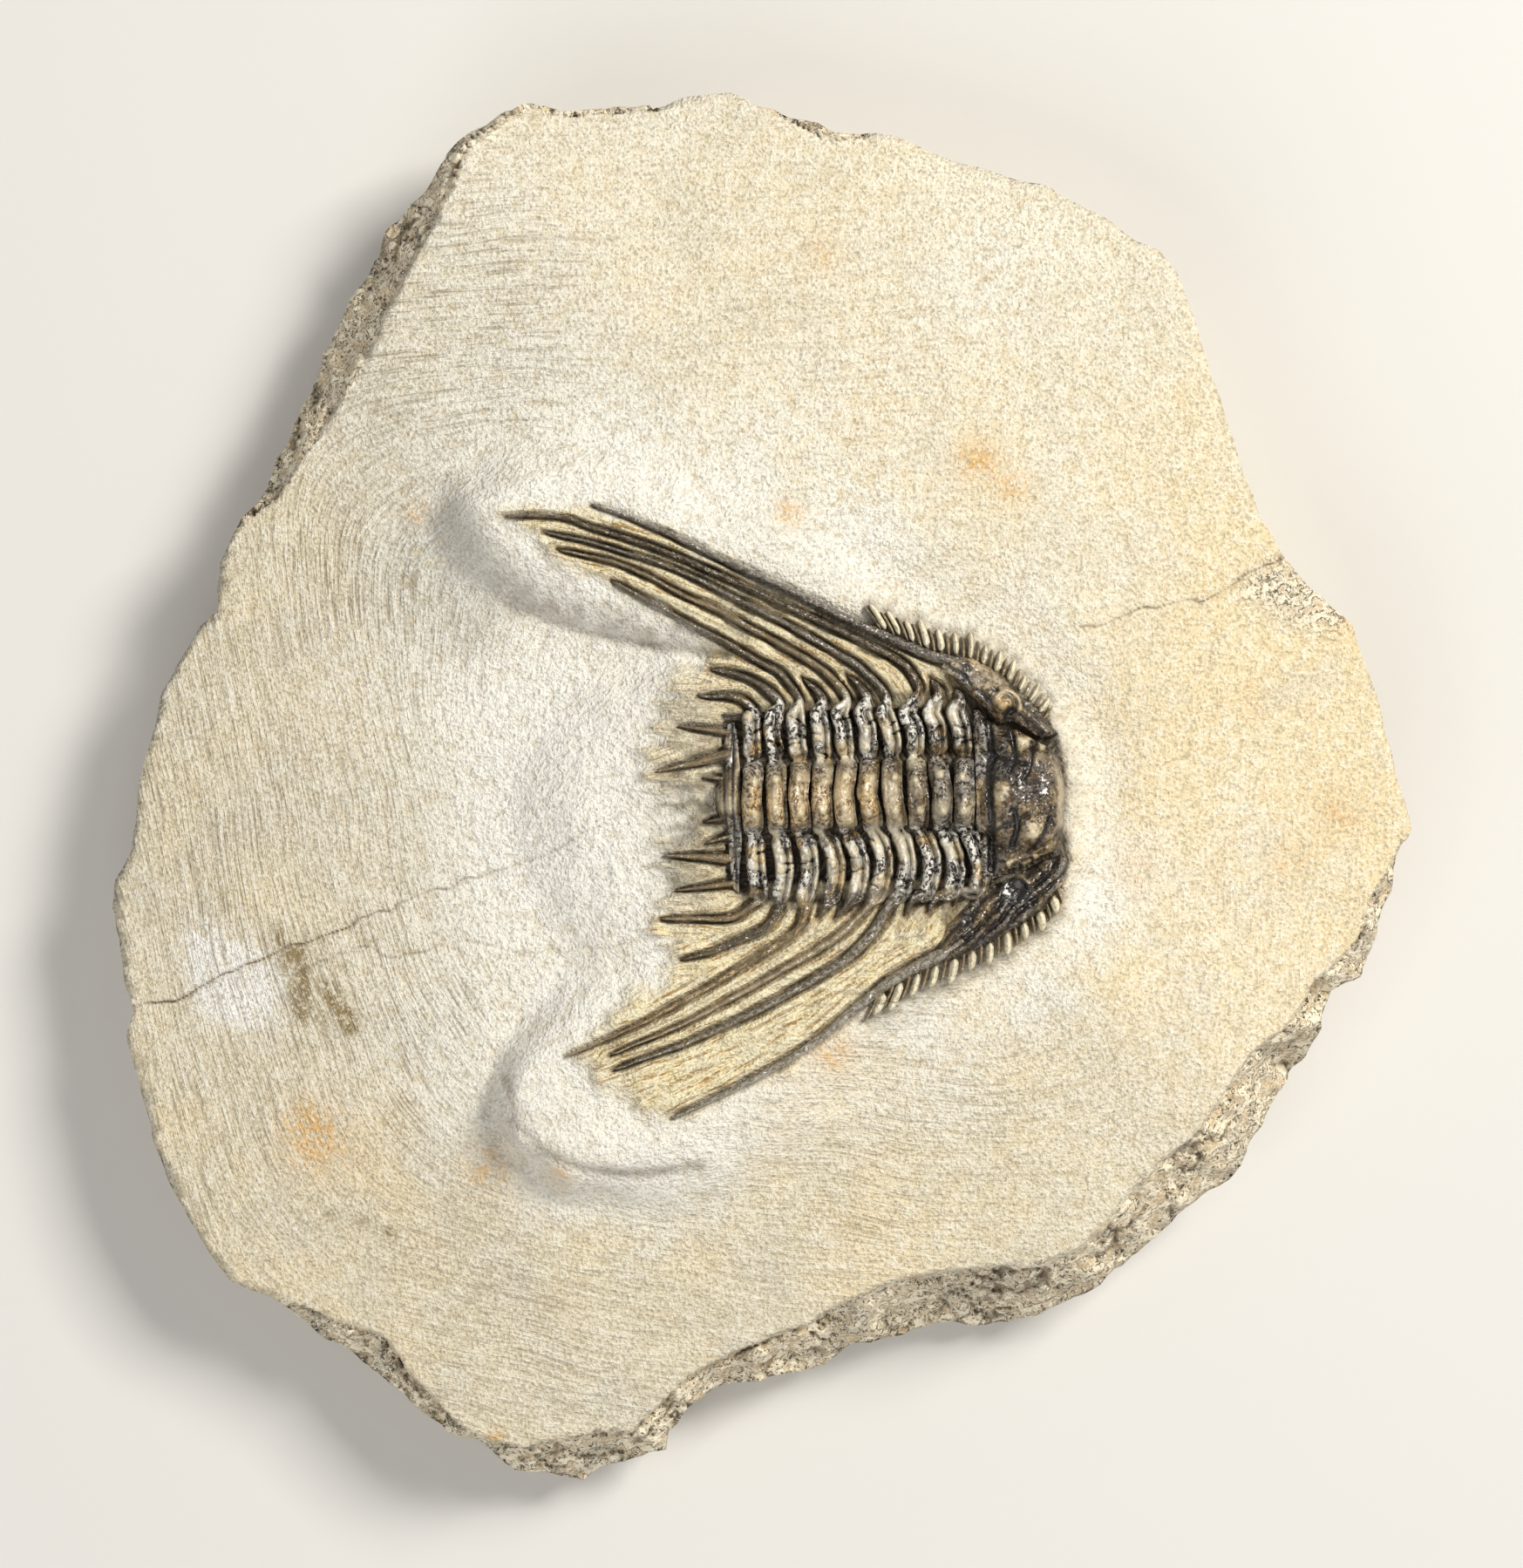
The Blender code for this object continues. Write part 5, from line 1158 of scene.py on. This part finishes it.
def build_segment(number):
    along = THORAX_FRONT - PITCH * (number - 0.5)
    x, y, low, high, width, ring, pleura = segment_route(number, along)
    ring, pleura = np.clip(ring, 0, 1)[:, None], np.clip(pleura, 0, 1)[:, None]
    round_off = ends(len(x), SEGMENT_STEP)
    width = np.clip(width, 0.12, SEGMENT_WIDTH + 0.02) * round_off
    high = low + (high - low) * round_off
    tops = SPINE_SHAPE * (1 - pleura) + pleura * (RING_SHAPE * ring + PLEURA_SHAPE * (1 - ring))
    verts, faces, up = sweep(x, y, low, high, width, tops, 0.1, 100 + 7 * number)
    px, py, _ = verts.T
    body_along, across = body_place(px, py)
    tubercles = np.zeros(len(px))
    chance = np.random.default_rng(900 + number)
    for side in (-1, 1):
        shift = chance.uniform(-0.25, 0.25, 2)
        offset = np.hypot(body_along - along + shift[0], across - side * TUBERCLE[0] + shift[1]) / TUBERCLE[1]
        tubercles += np.exp(-offset ** 4) * chance.uniform(0.7, 1)
    on_top = up > 0.3
    verts[:, 2] += TUBERCLE[2] * tubercles * on_top
    body = smooth_step(8.4, 7.2, abs(across))
    flakes = np.round(layered(px, py, 0.9, 270 + number, 2) * 2.5) / 2.5
    splits = 0
    for place in chance.choice(np.concatenate([np.arange(-7.4, -3, 0.4), np.arange(3.2, 6, 0.4)]), 4, False):
        slant, shift = chance.uniform(-0.6, 0.6), chance.uniform(-0.7, 0.7)
        gap = across - place - slant * (body_along - along) - 0.12 * rough(px, py, 0.4, 290)
        splits = splits + bell(gap, 0.08) * smooth_step(0.65, 0.35, abs(body_along - along - shift))
    relief = 0.16 * flakes * (abs(across) > 2.8) + 0.07 * flakes - 0.3 * splits
    verts[:, 2] += relief * body * on_top
    beyond = smooth_step(6.2, 8.2, abs(across))
    near_axis = smooth_step(2.9, 2.1, abs(across))
    left_hue, right_hue = LEFT_HUES.get(number, PLAIN_HUE), RIGHT_HUES.get(number, PLAIN_HUE)
    outer = np.where((across > 0)[:, None], left_hue, right_hue)
    patch = layered(px, py, 1.5, 200 + number, 2)
    other = rough(px, py, 1.1, 230 + number)
    flank = np.column_stack([np.clip(patch * 1.6 - 0.3, 0, 0.8), np.clip(0.55 - patch * 1.8, 0, 1),
                             np.clip(0.1 + 1.8 * other, 0, 0.9)])
    axis = np.column_stack([RING_AMBER[number - 1] * (smooth_step(2.5, 1, abs(across + 0.3)) + 0.25),
                            np.clip(0.1 - 1.2 * patch, 0, 0.2), np.clip(other - 0.1, 0, 0.5)])
    side_hue = flank * (1 - beyond)[:, None] + outer * beyond[:, None]
    hue = axis * near_axis[:, None] + (1 - near_axis)[:, None] * side_hue
    filled = smooth_step(0.52, 0.3, up) * np.clip(rough(px, py, 1.4, 250) * 1.6, 0, 1) * (abs(across) > 3.2)
    # The height share sets painted highlights on the crests and painted shade in the furrows and splits.
    height_share = np.where(beyond > 0.5, np.minimum(up + 0.1, 0.8), up) - 0.6 * splits * body
    height_share = np.where(near_axis > 0.5, np.minimum(height_share, 0.84), height_share)
    light_shade_and_wear = np.column_stack([height_share, np.clip(tubercles, 0, 1) * on_top, filled])
    lay_out(f"segment_{number:02d}", [(verts, faces, hue, light_shade_and_wear)], f"shell_segment_{number:02d}",
            [f"thorax_segment_{number:02d}"])


for segment_number in range(1, SEGMENTS + 1):
    build_segment(segment_number)

# The tail shield. A short plate with a low axis, and a fringe of seven tapered spines behind it.
PLATE_EDGE = 0.45
TAIL_MARGIN = [
    (-1.75, 5.1), (-2.3, 4.9), (-2.6, 3.4), (-2.7, 1), (-3.4, 0.2), (-3.5, -1.2), (-2.7, -2.2),
    (-2.3, -3.6), (-2.1, -5.6), (-1.9, -7.2), (-1.5, -7.6), (-1.3, -5), (-1.3, 0), (-1.5, 4),
]


def bumps(x, y, spots):
    """The height of rounded bumps, each given as its place, radius and rise."""
    total = np.zeros(x.shape)
    for (at_x, at_y), radius, rise in spots:
        away = np.hypot(x - at_x, y - at_y) / radius
        total += rise * np.cos(np.minimum(away, 1) * math.pi / 2) ** 2
    return total


def granules(low, high, gap, radii, rises, seed):
    """Small tubercles scattered over a box, never on a regular grid."""
    x, y = grid(low, high, gap, seed)
    chance = np.random.default_rng(seed)
    x = x + chance.uniform(-0.4, 0.4, len(x)) * gap
    y = y + chance.uniform(-0.4, 0.4, len(y)) * gap
    radius = chance.uniform(*radii, len(x))
    rise = chance.uniform(*rises, len(x))
    kept = chance.random(len(x)) < 0.7
    return list(zip(zip(x[kept], y[kept]), radius[kept], rise[kept]))


def plate(loop, step, shape, seed):
    """A closed plate over an outline, rounded at its margin and sunk into the stone."""
    ring = resample([(*p, 0) for p in loop], step)
    xs, ys, _ = np.array(ring).T
    xs = xs + 0.05 * layered(xs, ys, 0.8, seed, 2)
    ys = ys + 0.05 * layered(xs, ys, 0.8, seed + 3, 2, 3)
    ring = list(zip(xs.tolist(), ys.tolist(), [0] * len(xs)))
    x, y = grid((xs.min(), ys.min()), (xs.max(), ys.max()), step, seed)
    away, _, inside = to_loop(x, y, ring)
    x, y = x[inside & (away > 0.5 * step)], y[inside & (away > 0.5 * step)]
    places, faces = fill([p[:2] for p in ring], x, y)
    x, y = places.T
    away, _, _ = to_loop(x, y, ring)
    base = base_at(x, y)
    edge = base + PLATE_EDGE
    top, hue, light_shade_and_wear = shape(x, y, base)
    rise = np.sqrt(smooth_step(0, 0.75, away))
    top = edge + (np.maximum(top, edge) - edge) * rise
    count = len(ring)
    verts = [np.column_stack([x, y, top]), np.column_stack([x[:count], y[:count], base[:count] - SUNK])]
    start = len(x)
    i = np.arange(count)
    after = (i + 1) % count
    turned = sum(a[0] * b[1] - b[0] * a[1] for a, b in zip(ring, ring[1:] + ring[:1])) > 0
    sides = np.column_stack([i, start + i, start + after, after])
    sides = sides if turned else sides[:, ::-1]
    _, floor_faces = fill([p[:2] for p in ring], np.zeros(0), np.zeros(0))
    all_faces = faces.tolist() + sides.tolist() + (start + floor_faces[:, ::-1]).tolist()
    hue = np.concatenate([hue, hue[:count]])
    light_shade_and_wear = np.concatenate([light_shade_and_wear, light_shade_and_wear[:count] * (0, 0, 1)])
    return np.concatenate(verts), all_faces, hue, light_shade_and_wear


TAIL_GRANULES = granules((-3.6, -8), (-1.2, 5.4), 0.55, (0.16, 0.28), (0.06, 0.16), 301)


def tail_shape(x, y, base):
    along, across = body_place(x, y)
    out = np.minimum(abs(across) / 2.6, 1)
    grains = bumps(x, y, TAIL_GRANULES)
    joints = sum(bell(along - place - 0.12 * out, 0.13) for place in (0.25, 0.85, 1.45))
    top = base + 0.7 + 1.1 * np.cos(out * math.pi / 2) + grains
    top = top + 0.1 * layered(x, y, 0.8, 305, 3) - 0.3 * joints
    patch = rough(x, y, 1.2, 306)
    hue = np.column_stack([0.05 + 0.35 * (1 - out), np.clip(0.1 - patch, 0, 0.4),
                           np.clip(patch - 0.1, 0, 0.4)])
    # Lower height share in the joints, for painted shade there.
    light_shade_and_wear = np.column_stack([0.75 - 0.5 * joints, 0.7 * smooth_step(0.09, 0.15, grains),
                            np.clip(patch - 0.3, 0, 1)])
    return top, hue, light_shade_and_wear


tail_parts = [plate(TAIL_MARGIN, 0.12, tail_shape, 311)]
for spine_number, (points, root, tip) in enumerate(TAIL_SPINES):
    tail_parts.append(small_spine(points, root, tip, (0.35, 0, 0.1), 320 + spine_number))
lay_out("tail_shield", tail_parts, "shell_pygidium", ["pygidium"])

# The middle shield of the head. A domed, lobed glabella between two fixed cheeks, with the occipital
# ring behind. It is one thick, granular plate, brown-black, with cream lobes and pale granules.
HEAD_MARGIN = [
    (21.9, 3.1), (22.4, 1.8), (22.7, 0.2), (22.6, -2.6), (22.1, -4.4), (20.9, -4.9), (19.8, -5.5),
    (18.2, -6.3), (17.2, -6.8), (16.7, -7.2), (16.2, -7), (16.15, -5), (16.1, -2.8), (16.05, 0),
    (16, 2.6), (15.9, 4.6), (15.9, 6), (16.3, 6), (16.9, 5.4), (18, 4.5), (19.1, 4.5),
    (19.9, 4), (20.9, 3.5),
]
GLABELLA = ((19.6, -0.6), (3.4, 3.9), 2.8)
HEAD_LOBES = [
    ((20.2, -2.9), 1.3, 0.5), ((17.9, 0.1), 0.75, 0.75), ((20.4, 2.7), 1, 0.5), ((18, 3.4), 1, 0.8),
    ((18.2, -4.7), 1.1, 0.7), ((21, -0.2), 1.4, 0.4),
]
HEAD_FURROWS = [
    ([(17, 5.2), (17.2, 2.6), (17, 0), (17.2, -2.6), (17.2, -5.8)], 0.28, 0.5),
    ([(18.7, 4.2), (18.9, 2.6), (18.5, 1.5)], 0.25, 0.45),
    ([(18.7, -4), (19, -2.6), (18.7, -1.4)], 0.25, 0.45),
    ([(20.2, 3.6), (20, 1.9), (19.5, 0.9)], 0.2, 0.35),
    ([(20.3, -4.2), (21, -3.2), (21.4, -2)], 0.22, 0.35),
    ([(16.4, 3), (17.2, 2.5), (18.4, 2.3), (19.8, 1.9)], 0.2, 0.35),
    ([(16.4, -3.3), (17.4, -2.9), (18.6, -2.4), (19.8, -1.7)], 0.2, 0.3),
]
HEAD_GRANULES = granules((15.8, -7.4), (22.9, 6.2), 0.34, (0.10, 0.2), (0.06, 0.2), 401)
CREAM_SPOTS = [
    (20.1, 3.55, 0.4, 0.9), (18.8, 3.1, 0.35, 0.8), (17.9, 0.2, 0.55, 1.2), (17.85, -0.35, 0.5, 1.1),
    (20.2, -2.8, 0.75, 0.9), (17.7, -2.7, 0.5, 0.8), (20.5, -4.8, 0.25, 1), (19.4, 3.5, 0.55, 0.9),
    (20.9, 3.4, 0.4, 0.9), (16.3, 2.9, 0.5, 0.8), (18.6, -5.3, 0.35, 0.8), (19.4, -5.25, 0.35, 0.9),
    (20, -5.2, 0.25, 0.7), (17.2, 3.2, 0.3, 0.6),
]


def head_shape(x, y, base):
    (cx, cy), (rx, ry), rise = GLABELLA
    out = np.hypot((x - cx) / rx, (y - cy) / ry)
    dome = rise * np.maximum(0, 1 - out * out) ** 0.6
    grains = bumps(x, y, HEAD_GRANULES)
    cut = furrows(x, y, HEAD_FURROWS)
    top = BED_HEIGHT + 1.25 + dome * 0.94 + 0.7 * bumps(x, y, HEAD_LOBES) + grains - cut
    top = top + 0.12 * layered(x, y, 1.1, 405, 3)
    patch = layered(x, y, 1.6, 406, 2)
    cream = spot(x, y, CREAM_SPOTS) * (0.85 + 0.75 * layered(x, y, 0.42, 409, 2))
    back = smooth_step(17.4, 16.6, x)
    hue = np.column_stack([np.clip(0.16 + 0.35 * patch + 0.5 * cream, 0, 0.8),
                           np.clip(0.3 * back - 0.3 * patch - 0.1, 0, 0.3),
                           np.clip(0.8 * rough(x, y, 0.8, 407) - 0.5, 0, 0.3)])
    tips = smooth_step(0.11, 0.2, grains) * smooth_step(-0.3, 0.4, rough(x, y, 1.3, 408))
    # Lower height share in the furrows for painted shade, higher on the granules for painted glints.
    light_shade_and_wear = np.column_stack([0.62 - cut * 1.3 + 0.5 * np.clip(grains, 0, 0.2),
                            np.maximum(0.85 * tips, 0.85 * smooth_step(0.3, 0.75, cream)),
                            np.zeros(len(x))])
    return top, hue, light_shade_and_wear


lay_out("head_shield", [plate(HEAD_MARGIN, 0.1, head_shape, 411)], "shell_cranidium", ["cranidium"])

# The two free cheeks. Each is a narrow plate with an eye, a fringe of short spines along its rim, and
# the long genal spine that sweeps back from it. The left eye stands up, and the right one is crushed.
LEFT_RIM = [(22.2, 4.2), (21.4, 5), (20.7, 6), (19.7, 7), (18.5, 8.2), (17.3, 9), (15.8, 9.8)]
LEFT_BACK = [(14.6, 10.1), (13.8, 9.8), (13.6, 9.2)]
LEFT_INNER = [(14.5, 8.2), (15.7, 6.9), (17, 5.9), (17.9, 5), (19.1, 5), (20, 4.5), (21, 3.9)]
RIGHT_RIM = [(23, -5.2), (22.6, -6.8), (21.2, -8.7), (19.4, -10), (17.4, -11.1), (15.9, -11.9)]
RIGHT_BACK = [(14.4, -12.6), (13.4, -12.6), (13.2, -11.9)]
RIGHT_INNER = [(14.2, -9.7), (15.2, -8.6), (16.3, -7.7), (17.5, -7), (18.6, -6.5), (20.1, -5.7),
               (21.1, -5.1), (22.3, -4.7)]
LEFT_EYE = (18.3, 6.4)
RIGHT_EYE = (19, -7.3)
BAND_TURNS = 7.5


def cheek_shape(eye, standing, seed):
    grains = granules((13, -13 if eye[1] < 0 else 3.6), (23.2, -4.6 if eye[1] < 0 else 10.4), 0.5,
                      (0.13, 0.26), (0.06, 0.2), seed)

    def shape(x, y, base):
        away = np.hypot(x - eye[0], y - eye[1])
        ring = bell(away - 0.98, 0.17) * smooth_step(-1.1, -0.2, (x - eye[0]) + (y - eye[1]))
        dome = np.sqrt(np.clip(1 - np.hypot(x - eye[0] + 0.3, y - eye[1] - 0.1) ** 2 / 0.6, 0, 1))
        hole = np.exp(-(np.hypot(x - eye[0] - 0.35, y - eye[1] + 0.75) / 0.5) ** 4) * standing
        small = bumps(x, y, grains) * ((away > 1.2) | (not standing))
        if standing:
            eye_height = 0.8 * dome + 0.55 * ring + 0.6 * bell(away, 1.3) - 0.8 * hole
        else:
            eye_height = 0.4 * ring * (y > eye[1]) - 0.5 * bell(away, 0.7)
        across_rim = (x + y if standing else x - y) * 0.7 + 0.3 * rough(x, y, 1.6, seed + 6)
        panel = smooth_step(18.9, 18.4, x) * smooth_step(7.4, 7.8, y) * smooth_step(15.4, 15.9, x) * standing
        bands = np.sin(across_rim * BAND_TURNS) * (away > 1.1) * (1 - 0.85 * panel)
        top = BED_HEIGHT + 1.15 + eye_height + small + 0.1 * layered(x, y, 0.9, seed + 5, 3) + 0.2 * bands
        patch = layered(x, y, 1.4, seed + 8, 2)
        rim = smooth_step(0.8, 1.02, away) * smooth_step(1.5, 1.1, away)
        cream = np.clip(ring * (1 if standing else 0.9 * (y > eye[1] + 0.5)), 0, 1)
        lump = np.exp(-(np.hypot(x - 13.9, y - 9) / 0.8) ** 4) * standing
        amber = np.clip(0.1 + 0.3 * patch + (dome + ring) * 0.7 * standing + 0.4 * panel, 0, 1)
        grey = np.clip(0.3 * bands - 0.4 * patch - 0.1, 0, 0.35) * (1 - cream) * (0.35 + 0.65 * standing)
        hue = np.column_stack([amber, grey + 0.2 * panel, 0.6 * cream + 0.1 * panel + lump])
        pit = bell(away, 0.8) * (not standing)
        tips = smooth_step(0.1, 0.18, small) * smooth_step(0, 0.5, rough(x, y, 1.2, seed + 9))
        # Lower height share in the eye's pit and hole for painted shade, and across the bands for painted
        # light and shade.
        light_shade_and_wear = np.column_stack([0.56 - pit * 0.7 - 0.6 * hole + 0.26 * bands, 0.7 * tips + 0.4 * cream,
                                0.2 * rim * cream])
        return top, hue, light_shade_and_wear
    return shape


def build_cheek(side, outline, eye, standing, genal, genal_hue, seed):
    parts = [plate(outline, 0.11, cheek_shape(eye, standing, seed), seed + 20)]
    points, root, tip = genal
    parts.append(small_spine(points, root, tip, genal_hue, seed + 30, 0.55, 0.08))
    for i, route in enumerate(FRINGES[side]):
        parts.append(small_spine(route, 0.4, 0.24, (0.45, 0.05, 0.1), seed + 40 + i, 0.42, 0.04))
    lay_out(f"cheek_{side}", parts, f"shell_free_cheek_{side}", [f"free_cheek_{side}"])


LEFT_CHEEK = LEFT_RIM + LEFT_BACK + LEFT_INNER
RIGHT_CHEEK = RIGHT_RIM + RIGHT_BACK + RIGHT_INNER
build_cheek("left", LEFT_CHEEK, LEFT_EYE, True, LEFT_GENAL, (0, 0.15, 0.05), 500)
build_cheek("right", RIGHT_CHEEK, RIGHT_EYE, False, RIGHT_GENAL, (0, 0.35, 0.15), 600)
